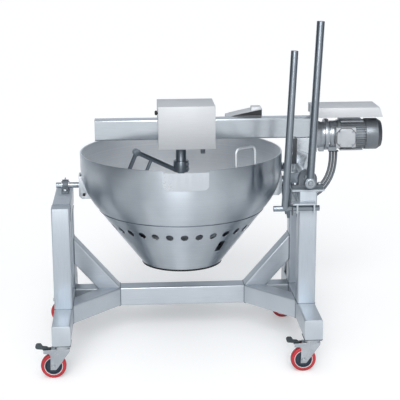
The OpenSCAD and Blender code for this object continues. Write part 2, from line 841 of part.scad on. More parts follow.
// Finned barrel with flats at the top and bottom for the pads
module motor_body() color(bright) place() {
    core_r = motor_d / 2 - fin_h;
    along_motor(motor_x0) linear_extrude(motor_l) {
        circle(r = core_r);
        for (i = [0 : fin_count - 1]) rotate(360 * i / fin_count)
            translate([core_r - 2, -1.5]) square([fin_h + 2, 3]);
    }
    for (side = [-1, 1])
        block([motor_x0 + 14, -52, motor_z + side * (motor_d / 2 - 2) - 4],
            [motor_x0 + motor_l - 14, 52, motor_z + side * (motor_d / 2 - 2) + 4]);
    along_motor(motor_x0) cylinder(h = 12, d = motor_d);
}

module terminal_box() color(bright) place() {
    front = -(motor_d / 2 + 46);
    mid = motor_x0 + 32;
    cut = 26;
    half = terminal_w / 2;
    difference() {
        block([mid - half, front + 8, motor_z - half], [mid + half, -40, motor_z + half]);
        along_motor(motor_x0 - reducer_l) cylinder(h = 3 * reducer_l, d = motor_d + 0.4);
    }
    translate([mid, front + 8, motor_z]) rotate([90, 0, 0]) linear_extrude(8)
        polygon([[-half + cut, -half + 4], [half - cut, -half + 4], [half - 4, -half + cut],
            [half - 4, half - cut], [half - cut, half - 4], [-half + cut, half - 4],
            [-half + 4, half - cut], [-half + 4, -half + cut]]);
}

module fan_cover() color(shade) place() difference() {
    along_motor(fan_x0) rotate_extrude() polygon([
        [0, 0], [fan_d / 2, 0], [fan_d / 2, fan_l - 22], [fan_d / 2 - 14, fan_l],
        [0, fan_l]]);
    // air slots in the rear face
    for (i = [-4 : 4])
        block([fan_x1 - 5, i * 13 - 3, motor_z - sqrt(3600 - pow(i * 13, 2))],
            [fan_x1 + 1, i * 13 + 3, motor_z + sqrt(3600 - pow(i * 13, 2))]);
}

// Folded hood, open to the left and below, on an end plate that stands on the beam
module motor_hood() color(steel) place() {
    low = hood_top - hood_side;
    rotate([90, 0, 0]) linear_extrude(hood_w, center = true) difference() {
        polygon([[hood_x0, low], [hood_x1, low], [hood_x1 - 16, hood_top], [hood_x0, hood_top]]);
        polygon([[hood_x0 - 1, low - 1], [hood_x1 - cover_t, low - 1],
            [hood_x1 - 16 - cover_t, hood_top - cover_t], [hood_x0 - 1, hood_top - cover_t]]);
    }
    for (y = [-hood_w / 2, hood_w / 2 - cover_t])
        translate([0, y + cover_t, 0]) rotate([90, 0, 0]) linear_extrude(cover_t)
            polygon([[hood_x0, low], [hood_x1, low], [hood_x1 - 16, hood_top],
                [hood_x0, hood_top]]);
    block([hood_x0, -arm_w / 2, arm_top], [hood_x0 + cover_t, arm_w / 2, hood_top]);
    block([hood_x0, -arm_w / 2, arm_top], [neck_x1, arm_w / 2, arm_top + cover_t]);
}

// Control box on the back of the beam, with a sloping lid
module control_box() color(steel) place() {
    x0 = head_right + 70;
    x1 = x0 + 186;
    rear = arm_w / 2 + 110;
    outline = [[x0, arm_low + 20], [x1, arm_low + 20], [x1, arm_top + 34], [x0, arm_top - 4]];
    difference() {
        translate([0, rear, 0]) rotate([90, 0, 0]) linear_extrude(rear - arm_w / 2)
            polygon(outline);
        translate([0, rear - cover_t, 0]) rotate([90, 0, 0])
            linear_extrude(rear - arm_w / 2 - 2 * cover_t) offset(delta = -cover_t)
                polygon(outline);
    }
    block([x1 - 54, arm_w / 2 + 20, arm_top + 20], [x1 - 4, arm_w / 2 + 70, arm_top + 44]);
}

// Stirrer

module stirrer_shaft() color(bright) place() {
    translate([0, 0, hub_top]) cylinder(h = stirrer_top - hub_top, d = stirrer_d);
    translate([0, 0, hub_low]) cylinder(h = hub_h, d = hub_d);
    translate([0, 0, boss_low]) cylinder(h = hub_low - boss_low, d = lower_d);
}

// Turns what is drawn to the right of the shaft to the scraper's place at the left
module at_scraper() {
    rotate([0, 0, 180 + scraper_turn]) children();
}

// Where a hanging rod from a point on the arm meets the dish drawn in by off
function rod_end(root, off) = let (
    a = bowl_r - off,
    b = dish_h - off,
    up = root[1] - band_z,
    p = pow(rod_slope / a, 2) + pow(1 / b, 2),
    q = rod_slope * root[0] / pow(a, 2) - up / pow(b, 2),
    r = pow(root[0] / a, 2) + pow(up / b, 2) - 1,
    drop = (sqrt(pow(q, 2) - p * r) - q) / p) [root[0] + rod_slope * drop, root[1] - drop];

module stirrer_arm() color(bright) place() at_scraper() difference() {
    union() {
        rod(elbow_root, elbow, rod_d);
        rod(elbow, rod_end(elbow, bar_outer + 4), rod_d - 3);
        rod(inner_root, rod_end(inner_root, bar_outer + 4), rod_d - 7);
        // knuckle of the elbow
        translate([elbow[0], 0, elbow[1]])
            rotate([90, 0, 0]) cylinder(h = rod_d + 10, d = rod_d + 12, center = true);
    }
    translate([0, 0, hub_low - 1]) cylinder(h = hub_h + 2, d = hub_d + 0.2);
    scraper_curve(bar_outer, bar_inner + 0.2, bar_stop, bar_start, bar_t + 1);
    scraper_curve(bar_outer - blade_w, bar_outer + 0.2, bar_stop, bar_start, bar_t + 7);
}

// A strip between two offsets of the dish, from t0 to t1 degrees, across the arm's plane
module scraper_curve(off_a, off_b, t0, t1, thick) {
    steps = 14;
    side = [for (i = [0 : steps]) dish_at(t0 + (t1 - t0) * i / steps, off_a)];
    back = [for (i = [steps : -1 : 0]) dish_at(t0 + (t1 - t0) * i / steps, off_b)];
    rotate([90, 0, 0]) linear_extrude(thick, center = true) polygon(concat(side, back));
}
module scraper_bar() color(bright) place() at_scraper() difference() {
    union() {
        scraper_curve(bar_outer, bar_inner, bar_stop, bar_start, bar_t);
        translate([0, 0, boss_low]) cylinder(h = boss_h, d = boss_d);
    }
    translate([0, 0, boss_low - boss_d]) cylinder(h = boss_h + 2 * boss_d, d = lower_d + 0.1);
}
module scraper_blades() color("#f2f2ee") place() at_scraper() {
    span = (bar_start - bar_stop) / blade_count;
    for (i = [0 : blade_count - 1])
        scraper_curve(bowl_t + scrape_gap, bar_outer, bar_stop + span * i + 0.4,
            bar_stop + span * (i + 1) - 0.4, bar_t + 6);
}

// Lock lever: an upright tube on a cross bar
module lock_lever() color(bright) place() {
    translate([cross_x0, cross_y, cross_z]) rotate([0, 90, 0])
        cylinder(h = cross_l, d = cross_d);
    translate([lock_x, cross_y, cross_z]) rotate([0, lever_lean, 0]) difference() {
        cylinder(h = lock_lever_l, d = lever_d - 2);
        translate([0, 0, 30]) cylinder(h = lock_lever_l - 34, d = lever_d - 7);
    }
}

// Castors, drawn about their swivels with the wheel to the left

module castor_at(x, y) {
    translate([x, y, 0]) children();
}
module fork() {
    difference() {
        union() {
            // swivel head and the plate that carries the legs
            translate([0, 0, fork_plate]) cylinder(h = fork_top - fork_plate, d = head_d);
            block([-trail - 9, -leg_y - fork_t, fork_plate - fork_t],
                [fork_end, leg_y + fork_t, fork_plate + 1]);
            for (y = [-leg_y - fork_t, leg_y]) translate([0, y + fork_t, 0])
                rotate([90, 0, 0]) linear_extrude(fork_t) fork_leg();
            translate([-trail, 0, wheel_r]) rotate([90, 0, 0])
                cylinder(h = 2 * (leg_y + fork_t) + 12, d = axle_d, center = true);
        }
        translate([0, 0, fork_plate - 10]) cylinder(h = 60, d = king_d + 2 * fit);
    }
    // pedal pin, held by both legs
    translate([pedal_x, 0, pedal_z]) rotate([90, 0, 0])
        cylinder(h = 2 * leg_y + fork_t, d = pedal_pin, center = true);
}
// Side outline of a leg: upright at the back, slanting in front, with a wing beside the pedal
module fork_leg() {
    polygon([[fork_wing, fork_plate - 3], [fork_end, fork_plate], [fork_end, fork_plate - 11],
        [-trail + 19, wheel_r - 9], [-trail + 12, wheel_r - 17], [-trail - 15, wheel_r - 17],
        [-trail - 13, wheel_r + 58], [-trail - 20, wheel_r + 66], [fork_wing, fork_plate - 22]]);
}
module wheel() {
    edge = 5;
    translate([-trail, 0, wheel_r]) rotate([90, 0, 0]) rotate_extrude($fn = 72) polygon([
        [axle_d / 2 + fit, -wheel_w / 2 - 2], [20, -wheel_w / 2 - 2], [22, -wheel_w / 2 + 4],
        [wheel_r - 20, -wheel_w / 2 + 4], [wheel_r - 17, -wheel_w / 2],
        [wheel_r - edge, -wheel_w / 2], [wheel_r, -wheel_w / 2 + edge],
        [wheel_r, wheel_w / 2 - edge], [wheel_r - edge, wheel_w / 2],
        [wheel_r - 17, wheel_w / 2], [wheel_r - 20, wheel_w / 2 - 4],
        [22, wheel_w / 2 - 4], [20, wheel_w / 2 + 2], [axle_d / 2 + fit, wheel_w / 2 + 2]]);
}
// Brake pedal: an arm on the pedal pin that rises to a rolled toe
module pedal() {
    toe = -pedal_reach;
    toe_r = 12;
    difference() {
        rotate([90, 0, 0]) linear_extrude(24, center = true) {
            polygon([[pedal_x + 12, pedal_z - 5], [pedal_x + 12, pedal_z + 5],
                [pedal_x - 4, pedal_z + 18], [toe + 36, pedal_z + 20], [toe + 26, pedal_z + 34],
                [toe + toe_r, pedal_z + 35], [toe + toe_r, pedal_z + 11],
                [toe + 34, pedal_z + 9], [pedal_x - 12, pedal_z - 5]]);
            translate([toe + toe_r, pedal_z + 23]) circle(r = toe_r);
        }
        translate([pedal_x, 0, pedal_z]) rotate([90, 0, 0])
            cylinder(h = 40, d = pedal_pin + 2 * fit, center = true);
    }
}
module castor_fork_fl() color(bright) place() castor_at(-post_x, castor_front) fork();
module castor_fork_fr() color(bright) place() castor_at(post_x, castor_front) fork();
module castor_fork_rl() color(bright) place() castor_at(-post_x, castor_back) fork();
module castor_fork_rr() color(bright) place() castor_at(post_x, castor_back) fork();
module castor_wheel_fl() color("#c8312f") place() castor_at(-post_x, castor_front) wheel();
module castor_wheel_fr() color("#c8312f") place() castor_at(post_x, castor_front) wheel();
module castor_wheel_rl() color("#c8312f") place() castor_at(-post_x, castor_back) wheel();
module castor_wheel_rr() color("#c8312f") place() castor_at(post_x, castor_back) wheel();
module brake_pedal_l() color(shade) place() castor_at(-post_x, castor_front) pedal();
module brake_pedal_r() color(shade) place() castor_at(post_x, castor_front) pedal();

// Cables: three strands side by side, swept along the route

// The direction of the route at point i
function cable_dir(i) = let (
    a = cable_route[max(i - 1, 0)],
    b = cable_route[min(i + 1, len(cable_route) - 1)],
    ends = i == 0 ? [0, -1] : i == len(cable_route) - 1 ? [-1, 0] : (b - a) / norm(b - a)) ends;
module strand(shift) {
    sides = 8;
    last = len(cable_route) - 1;
    ring = [for (i = [0 : last]) let (d = cable_dir(i), n = [-d[1], d[0]])
        for (k = [0 : sides - 1]) let (
            out = shift + cable_d / 2 * cos(360 * k / sides),
            p = cable_route[i] + n * out)
            [p[0], cable_y + cable_d / 2 * sin(360 * k / sides), p[1]]];
    sides_list = [for (i = [0 : last - 1], k = [0 : sides - 1])
        let (a = i * sides + k, b = i * sides + (k + 1) % sides)
            [a, b, b + sides, a + sides]];
    polyhedron(ring, concat(sides_list,
        [[for (k = [sides - 1 : -1 : 0]) k]],
        [[for (k = [0 : sides - 1]) last * sides + k]]));
}
module cables() color("#6c7278") place()
    for (s = [-1, 0, 1]) strand(s * cable_step);

left_foot();
right_foot();
centre_beam();
left_diagonal();
right_diagonal();
left_brace();
right_brace();
rear_struts();
left_front_post();
right_front_post();
left_centre_post();
right_centre_post();
left_top_tube();
right_top_tube();
pot_shelf();
bearing_stands();
pot_block_left();
pot_block_right();
arm_block_front();
arm_block_rear();
block_bolts();
lever_bracket();
castor_plates();
bowl();
skirt();
base_ring();
pouring_lip();
rim_handle();
pot_brackets();
trunnion_pins();
burner();
arm_beam();
arm_neck();
head_cover();
gearbox();
arm_shaft();
long_lever();
reducer();
motor_body();
terminal_box();
fan_cover();
motor_hood();
control_box();
stirrer_shaft();
stirrer_arm();
scraper_bar();
scraper_blades();
lock_lever();
castor_fork_fl();
castor_fork_fr();
castor_fork_rl();
castor_fork_rr();
castor_wheel_fl();
castor_wheel_fr();
castor_wheel_rl();
castor_wheel_rr();
brake_pedal_l();
brake_pedal_r();
cables();
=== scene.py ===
# Tilting cooking mixer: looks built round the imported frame.
# Places and sizes come from the frame: X across, Y to the back, Z up, in metres.
import bpy
import json
import math
from mathutils import Matrix, Vector


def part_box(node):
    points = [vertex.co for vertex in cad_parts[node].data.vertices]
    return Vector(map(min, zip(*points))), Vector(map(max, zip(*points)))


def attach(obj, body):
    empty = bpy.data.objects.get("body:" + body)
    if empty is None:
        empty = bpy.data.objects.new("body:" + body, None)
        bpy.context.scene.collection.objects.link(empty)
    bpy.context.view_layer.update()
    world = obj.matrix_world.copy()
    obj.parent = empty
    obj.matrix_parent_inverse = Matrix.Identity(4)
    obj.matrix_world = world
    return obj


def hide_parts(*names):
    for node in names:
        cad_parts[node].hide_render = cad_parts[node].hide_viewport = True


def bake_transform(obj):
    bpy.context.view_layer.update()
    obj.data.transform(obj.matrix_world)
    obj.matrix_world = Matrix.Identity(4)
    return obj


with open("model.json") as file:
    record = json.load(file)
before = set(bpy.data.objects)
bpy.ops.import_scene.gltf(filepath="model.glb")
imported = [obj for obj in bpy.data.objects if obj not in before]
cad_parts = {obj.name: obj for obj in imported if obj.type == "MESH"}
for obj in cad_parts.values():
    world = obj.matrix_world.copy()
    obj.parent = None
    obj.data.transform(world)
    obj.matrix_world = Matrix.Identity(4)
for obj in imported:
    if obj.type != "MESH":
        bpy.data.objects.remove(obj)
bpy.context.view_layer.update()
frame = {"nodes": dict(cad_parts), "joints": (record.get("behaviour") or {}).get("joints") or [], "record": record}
mm = 0.001
print("frame loaded with", len(frame["nodes"]), "nodes")

bodyOf = {}
for bodyName, bodyNodes in frame["record"]["behaviour"]["bodies"].items():
    for nodeName in bodyNodes:
        bodyOf[nodeName] = bodyName


# Picking, naming and placing

def dropPick():
    bpy.ops.object.select_all(action="DESELECT")


def pickOnly(obj):
    dropPick()
    obj.select_set(True)
    bpy.context.view_layer.objects.active = obj


def settle(obj):
    pickOnly(obj)
    bpy.ops.object.transform_apply(location=True, rotation=True, scale=True)
    return obj


def named(name):
    obj = bpy.context.object
    obj.name = name
    obj.data.name = name
    return obj


def lowHigh(node):
    lo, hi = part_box(node)
    return Vector(lo), Vector(hi)


def smooth(obj, angle=35):
    pickOnly(obj)
    bpy.ops.object.shade_smooth_by_angle(angle=math.radians(angle))
    return obj


def applyModifier(obj, kind, **settings):
    pickOnly(obj)
    added = obj.modifiers.new(kind.title(), kind)
    for key, value in settings.items():
        setattr(added, key, value)
    bpy.ops.object.modifier_apply(modifier=added.name)
    return obj


def softenEdges(obj, width, angle=35, segments=2):
    applyModifier(obj, "BEVEL", width=width, segments=segments, limit_method="ANGLE",
                  angle_limit=math.radians(angle), use_clamp_overlap=True, harden_normals=False)
    return smooth(obj, angle)


def cutWith(obj, cutter):
    applyModifier(obj, "BOOLEAN", operation="DIFFERENCE", solver="EXACT", object=cutter)
    bpy.data.objects.remove(cutter)
    return obj


def joined(name, parts):
    dropPick()
    for part in parts:
        part.select_set(True)
    bpy.context.view_layer.objects.active = parts[0]
    bpy.ops.object.join()
    return named(name)


def copyTo(source, place, turn=None):
    obj = source.copy()
    obj.data = source.data.copy()
    bpy.context.collection.objects.link(obj)
    obj.matrix_world = Matrix.Translation(place) @ (turn or Matrix.Identity(4))
    return settle(obj)


def carried(obj, body, material, replaced=()):
    # every piece gets its finish, its body and the CAD nodes that it stands for
    obj.data.materials.clear()
    obj.data.materials.append(material)
    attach(obj, body)
    if replaced:
        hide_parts(*replaced)
    return obj


# Shapes

def block(name, lo, hi, edge=1.5 * mm):
    lo, hi = Vector(lo), Vector(hi)
    bpy.ops.mesh.primitive_cube_add(size=1, location=(lo + hi) / 2, scale=hi - lo)
    obj = settle(named(name))
    if edge:
        softenEdges(obj, edge)
    return obj


def axisTurn(axis):
    return Vector((0, 0, 1)).rotation_difference(Vector(axis)).to_matrix().to_4x4()


def prism(name, corners, front, back, edge=0.5 * mm):
    # a plate with (x, z) corners, clockwise as seen from the front, made from a many-sided cylinder
    count = len(corners)
    bpy.ops.mesh.primitive_cylinder_add(vertices=count, radius=1, depth=2)
    obj = named(name)
    for vertex in obj.data.vertices:
        number = round(math.atan2(vertex.co.x, vertex.co.y) / (math.tau / count)) % count
        x, z = corners[number]
        vertex.co = (x, back if vertex.co.z > 0 else front, z)
    pickOnly(obj)
    bpy.ops.object.mode_set(mode="EDIT")
    bpy.ops.mesh.select_all(action="SELECT")
    bpy.ops.mesh.normals_make_consistent(inside=False)
    bpy.ops.object.mode_set(mode="OBJECT")
    return softenEdges(obj, edge) if edge else obj


def lathe(name, outline, place, axis=(0, 0, 1), steps=64, closed=True, angle=35):
    # outline: (radius, height) points, spun about the axis through place
    bpy.ops.mesh.primitive_plane_add(size=0.01)
    obj = named(name)
    bpy.ops.object.mode_set(mode="EDIT")
    bpy.ops.mesh.select_all(action="SELECT")
    bpy.ops.mesh.merge(type="CENTER")
    at = Vector((outline[0][0], 0, outline[0][1]))
    bpy.ops.transform.translate(value=at)
    points = list(outline[1:])
    if closed and outline[0][0] > 1e-6:
        points.append(outline[0])
    for radius, height in points:
        to = Vector((radius, 0, height))
        bpy.ops.mesh.extrude_vertices_move(TRANSFORM_OT_translate={"value": to - at})
        at = to
    bpy.ops.mesh.select_all(action="SELECT")
    bpy.ops.mesh.spin(steps=steps, angle=math.tau, center=(0, 0, 0), axis=(0, 0, 1))
    bpy.ops.mesh.select_all(action="SELECT")
    bpy.ops.mesh.remove_doubles(threshold=1e-6)
    bpy.ops.mesh.normals_make_consistent(inside=False)
    bpy.ops.object.mode_set(mode="OBJECT")
    obj.matrix_world = Matrix.Translation(place) @ axisTurn(axis)
    settle(obj)
    return smooth(obj, angle)


def roundedCorner(before, corner, after, reach, steps):
    # points on a smooth bend that starts and stops at reach from the corner
    before, corner, after = Vector(before), Vector(corner), Vector(after)
    start = corner + (before - corner).normalized() * reach
    stop = corner + (after - corner).normalized() * reach
    bent = []
    for i in range(steps + 1):
        t = i / steps
        bent.append(start * (1 - t) ** 2 + corner * 2 * t * (1 - t) + stop * t ** 2)
    return bent


def rodAlong(name, points, radius, closed=False, sides=6, bend=0.0, ribs=0.0):
    # a rod, weld bead or conduit along the points: bend rounds its corners, ribs thins every
    # second point by that share
    if bend:
        rounded = [Vector(points[0])]
        for before, corner, after in zip(points, points[1:], points[2:]):
            rounded += roundedCorner(before, corner, after, bend, 8)
        points = rounded + [Vector(points[-1])]
    curve = bpy.data.curves.new(name, "CURVE")
    curve.dimensions = "3D"
    line = curve.splines.new("POLY")
    line.points.add(len(points) - 1)
    for i, (spot, point) in enumerate(zip(line.points, points)):
        spot.co = (*point, 1)
        spot.radius = 1 - ribs * (i % 2)
    line.use_cyclic_u = closed
    curve.bevel_depth = radius
    curve.bevel_resolution = sides
    curve.use_fill_caps = True
    obj = bpy.data.objects.new(name, curve)
    bpy.context.collection.objects.link(obj)
    pickOnly(obj)
    bpy.ops.object.convert(target="MESH")
    obj = named(name)
    return smooth(obj, 60)


def softened(node, edge=0.8 * mm, angle=30, segments=2):
    # a copy of a CAD node with its edges broken, as a deburred part has
    source = frame["nodes"][node]
    obj = source.copy()
    obj.data = source.data.copy()
    obj.parent = None
    for key in list(obj.keys()):
        del obj[key]
    bpy.context.collection.objects.link(obj)
    obj.name = node + "_finished"
    obj.data.name = obj.name
    obj.hide_render = False
    obj.hide_viewport = False
    pickOnly(obj)
    bpy.ops.object.mode_set(mode="EDIT")
    bpy.ops.mesh.select_all(action="SELECT")
    bpy.ops.mesh.remove_doubles(threshold=2e-6)
    bpy.ops.mesh.dissolve_limited(angle_limit=math.radians(0.5))
    bpy.ops.object.mode_set(mode="OBJECT")
    return softenEdges(obj, edge, angle, segments)


# Materials

def shade(text, alpha=1.0):
    # an sRGB hex value, turned to linear
    values = [int(text[i:i + 2], 16) / 255 for i in (1, 3, 5)]
    return [v / 12.92 if v <= 0.04045 else ((v + 0.055) / 1.055) ** 2.4 for v in values] + [alpha]


def addNode(tree, kind, sockets=None, **settings):
    made = tree.nodes.new(kind)
    for key, value in settings.items():
        setattr(made, key, value)
    for key, value in (sockets or {}).items():
        if isinstance(value, bpy.types.NodeSocket):
            tree.links.new(value, made.inputs[key])
        else:
            made.inputs[key].default_value = value
    return made


def newMaterial(name, **sockets):
    made = bpy.data.materials.new(name)
    made.use_nodes = True
    made.node_tree.nodes.clear()
    tree = made.node_tree
    surface = addNode(tree, "ShaderNodeBsdfPrincipled", {key.replace("_", " "): value
                                                         for key, value in sockets.items()})
    addNode(tree, "ShaderNodeOutputMaterial", {"Surface": surface.outputs[0]})
    return made, tree, surface


def ramp(tree, factor, low, high, lowAt=0.35, highAt=0.65):
    made = addNode(tree, "ShaderNodeValToRGB", {"Fac": factor})
    made.color_ramp.elements[0].position = lowAt
    made.color_ramp.elements[0].color = low
    made.color_ramp.elements[1].position = highAt
    made.color_ramp.elements[1].color = high
    return made.outputs["Color"]


def grey(value):
    return (value, value, value, 1)


def brushedSteel(name, tint, darker, rough, along, grainMm=1.2, strength=0.08, metallic=0.65):
    # stainless steel, rubbed along one direction: fine streaks that run that way
    made, tree, surface = newMaterial(name, Metallic=metallic, Roughness=rough)
    place = addNode(tree, "ShaderNodeTexCoord").outputs["Object"]
    fine = 1 / (grainMm * mm)
    scale = [fine, fine, fine]
    scale[along] = fine / 60  # the streaks are sixty times as long as they are wide
    stretched = addNode(tree, "ShaderNodeMapping", {"Vector": place, "Scale": scale})
    streaks = addNode(tree, "ShaderNodeTexNoise",
                      {"Vector": stretched.outputs[0], "Scale": 1.0, "Detail": 3.0})
    clouds = addNode(tree, "ShaderNodeTexNoise", {"Vector": place, "Scale": 4.0, "Detail": 2.0})
    mixed = addNode(tree, "ShaderNodeMath", {0: streaks.outputs[0], 1: clouds.outputs[0]},
                    operation="ADD")
    halved = addNode(tree, "ShaderNodeMath", {0: mixed.outputs[0], 1: 0.5}, operation="MULTIPLY")
    colour = ramp(tree, halved.outputs[0], shade(darker), shade(tint))
    tree.links.new(colour, surface.inputs["Base Color"])
    rougher = ramp(tree, halved.outputs[0], grey(rough + 0.05), grey(rough - 0.04))
    tree.links.new(rougher, surface.inputs["Roughness"])
    bump = addNode(tree, "ShaderNodeBump", {"Height": streaks.outputs[0], "Strength": strength,
                                            "Distance": 0.0002})
    tree.links.new(bump.outputs[0], surface.inputs["Normal"])
    return made


def turnedSteel(name, tint, darker, rough, centre, grainMm=1.5, metallic=0.7):
    # polished on a turntable: rings round the upright axis, and a highlight drawn out across them
    made, tree, surface = newMaterial(name, Metallic=metallic, Roughness=rough, Anisotropic=1.0,
                                      Anisotropic_Rotation=0.25)
    place = addNode(tree, "ShaderNodeTexCoord").outputs["Object"]
    fromAxis = addNode(tree, "ShaderNodeVectorMath", {0: place, 1: centre}, operation="SUBTRACT")
    parts = addNode(tree, "ShaderNodeSeparateXYZ", {0: fromAxis.outputs[0]})
    flat = addNode(tree, "ShaderNodeCombineXYZ", {0: parts.outputs[0], 1: parts.outputs[1]})
    radius = addNode(tree, "ShaderNodeVectorMath", {0: flat.outputs[0]}, operation="LENGTH")
    rings = addNode(tree, "ShaderNodeCombineXYZ", {0: radius.outputs["Value"], 1: parts.outputs[2]})
    streaks = addNode(tree, "ShaderNodeTexNoise", {"Vector": rings.outputs[0],
                                                   "Scale": 1 / (grainMm * mm), "Detail": 2.0})
    clouds = addNode(tree, "ShaderNodeTexNoise", {"Vector": place, "Scale": 5.0, "Detail": 3.0})
    mixed = addNode(tree, "ShaderNodeMath", {0: streaks.outputs[0], 1: clouds.outputs[0]},
                    operation="ADD")
    halved = addNode(tree, "ShaderNodeMath", {0: mixed.outputs[0], 1: 0.5}, operation="MULTIPLY")
    tree.links.new(ramp(tree, halved.outputs[0], shade(darker), shade(tint)),
                   surface.inputs["Base Color"])
    tree.links.new(ramp(tree, halved.outputs[0], grey(rough + 0.05), grey(rough - 0.04)),
                   surface.inputs["Roughness"])
    around = addNode(tree, "ShaderNodeVectorMath", {0: (0, 0, 1), 1: flat.outputs[0]},
                     operation="CROSS_PRODUCT")
    world = addNode(tree, "ShaderNodeVectorTransform", {0: around.outputs[0]},
                    vector_type="VECTOR", convert_from="OBJECT", convert_to="WORLD")
    tree.links.new(world.outputs[0], surface.inputs["Tangent"])
    return made


def groundSteel(name, tint, darker, rough, along):
    # centreless-ground bar: fine rings round it, so that its highlight runs along it
    made = brushedSteel(name, tint, darker, rough, along, 0.8, 0.03, 1.0)
    axis = [0, 0, 0]
    axis[along] = 1
    surface = next(n for n in made.node_tree.nodes if n.type == "BSDF_PRINCIPLED")
    surface.inputs["Anisotropic"].default_value = 0.9
    surface.inputs["Anisotropic Rotation"].default_value = 0.25
    normal = addNode(made.node_tree, "ShaderNodeNewGeometry").outputs["Normal"]
    around = addNode(made.node_tree, "ShaderNodeVectorMath", {0: axis, 1: normal},
                     operation="CROSS_PRODUCT")
    made.node_tree.links.new(around.outputs[0], surface.inputs["Tangent"])
    return made


def mottled(name, tint, darker, rough, metallic=0.0, sizeMm=3.0, strength=0.1, coat=0.0):
    # castings, paint, plating and mouldings: a fine mottle in colour, gloss and height
    made, tree, surface = newMaterial(name, Metallic=metallic, Roughness=rough, Coat_Weight=coat)
    place = addNode(tree, "ShaderNodeTexCoord").outputs["Object"]
    grain = addNode(tree, "ShaderNodeTexNoise", {"Vector": place, "Scale": 1 / (sizeMm * mm),
                                                 "Detail": 4.0})
    clouds = addNode(tree, "ShaderNodeTexNoise", {"Vector": place, "Scale": 12.0, "Detail": 2.0})
    mixed = addNode(tree, "ShaderNodeMath", {0: grain.outputs[0], 1: clouds.outputs[0]},
                    operation="ADD")
    halved = addNode(tree, "ShaderNodeMath", {0: mixed.outputs[0], 1: 0.5}, operation="MULTIPLY")
    tree.links.new(ramp(tree, halved.outputs[0], shade(darker), shade(tint)),
                   surface.inputs["Base Color"])
    tree.links.new(ramp(tree, halved.outputs[0], grey(rough + 0.08), grey(max(rough - 0.06, 0.02))),
                   surface.inputs["Roughness"])
    bump = addNode(tree, "ShaderNodeBump", {"Height": grain.outputs[0], "Strength": strength,
                                            "Distance": 0.0003})
    tree.links.new(bump.outputs[0], surface.inputs["Normal"])
    return made


bowlLo, bowlHi = lowHigh("bowl")
potAxis = Vector(((bowlLo.x + bowlHi.x) / 2, (bowlLo.y + bowlHi.y) / 2, 0))

# satin stainless: rubbed with a belt along each tube, soft wide highlights, cool grey
satinX = brushedSteel("satinStainlessAlongX", "#bfc6cd", "#afb7bf", 0.36, 0)
satinY = brushedSteel("satinStainlessAlongY", "#bfc6cd", "#afb7bf", 0.36, 1)
# the upright tubes take a darker copy of the same steel: painted shade on the posts
satinZ = brushedSteel("satinStainlessAlongZ", "#b4bcc4", "#a5aeb7", 0.36, 2)
# the shelf plate: duller than the tubes, and darker in colour as painted shade on the shelf
shelfShadeSteel = brushedSteel("shelfStainlessDarkenedAsShade", "#79828b", "#666f78", 0.42, 1)
# thin sheet of the covers: fine even grain; the beam's sheet is polished brighter
coverSteel = brushedSteel("satinStainlessSheet", "#c9cccf", "#c0c3c7", 0.5, 0, metallic=0.25)
beamSteel = brushedSteel("polishedStainlessSheet", "#c4cad0", "#b5bcc3", 0.2, 0, metallic=0.8)
# bright stainless bar: drawn and buffed, sharper reflections
brightBar = groundSteel("groundStainlessBar", "#8c949c", "#767e86", 0.3, 2)
pinBar = groundSteel("groundStainlessPin", "#b4bbc1", "#9ca4ab", 0.34, 0)
brightSheet = brushedSteel("buffedStainlessSheet", "#ced3d8", "#c4cad0", 0.3, 0, 0.8, 0.004, 0.7)
bowlSteel = turnedSteel("turnedPolishedStainless", "#bdc4cb", "#a9b1b9", 0.34, potAxis, 1.5, 1.0)
skirtSteel = turnedSteel("turnedStainlessSkirt", "#b9c0c7", "#a5adb5", 0.34, potAxis, 1.5, 1.0)
# the inside: a lighter copy of the bowl's steel, painted light for its lit inside, with a softer sheen
bowlInside = turnedSteel("bowlInsideSteelLightened", "#e4e8eb", "#d6dadf", 0.45, potAxis, 2.5, 0.4)
# weld seams: brushed dull after welding
weldSteel = mottled("brushedWeldSeam", "#7d8690", "#616a74", 0.38, 1.0, 2.0, 0.4)
# cast iron in machine grey enamel: matt, slightly pitted
castGrey = mottled("machineGreyEnamelOnCastIron", "#646b72", "#4d545b", 0.48, 0.3, 2.5, 0.35)
# drive housings: silver and grey enamel over aluminium, iron and sheet
gearGrey = mottled("silverGreyEnamelOnCasting", "#a9afb5", "#8c9299", 0.32, 0.75, 2.5, 0.15)
motorSilver = mottled("silverEnamelOnAluminium", "#9ca2a8", "#858b92", 0.36, 0.55, 2.0, 0.2)
lidSilver = mottled("paleEnamelOnAluminium", "#b4b8bd", "#a2a7ac", 0.38, 0.35, 2.0, 0.15)
fanGrey = mottled("greyEnamelSheet", "#73797f", "#63696f", 0.36, 0.5, 2.5, 0.15)
# dark grey enamel, also used as painted shade on the neck's front
darkEnamelAndPaintedShade = mottled("darkGreyEnamelAndPaintedShade", "#43484e", "#33383d", 0.42, 0.2, 2.5, 0.15)
# zinc plate: bright, faintly cloudy
zincPlate = mottled("brightZincPlate", "#b9bec3", "#989fa6", 0.28, 1.0, 4.0, 0.05)
# blackened steel, and iron burnt by the flame
blackZinc = mottled("blackenedSteelPedal", "#4d575b", "#30383c", 0.38, 0.7, 3.0, 0.2)
burntIron = mottled("heatBlackenedIron", "#26272a", "#151517", 0.7, 0.4, 2.0, 0.5)
# cast polyurethane tyre: deep red with a wet sheen
redTyre = mottled("redPolyurethane", "#b5202b", "#94141f", 0.34, 0.0, 4.0, 0.05, 0.25)
# mouldings: nylon wheel, white band, milled blades, rubber and conduit sheath
navyNylon = mottled("navyMouldedNylon", "#1f3040", "#15212e", 0.4, 0.0, 2.0, 0.15)
whiteBand = mottled("whiteMouldedBand", "#dcd6d6", "#c9c2c3", 0.45, 0.0, 2.0, 0.1)
whiteBlade = mottled("milledPtfe", "#ecebe6", "#dddbd4", 0.42, 0.0, 3.0, 0.1)
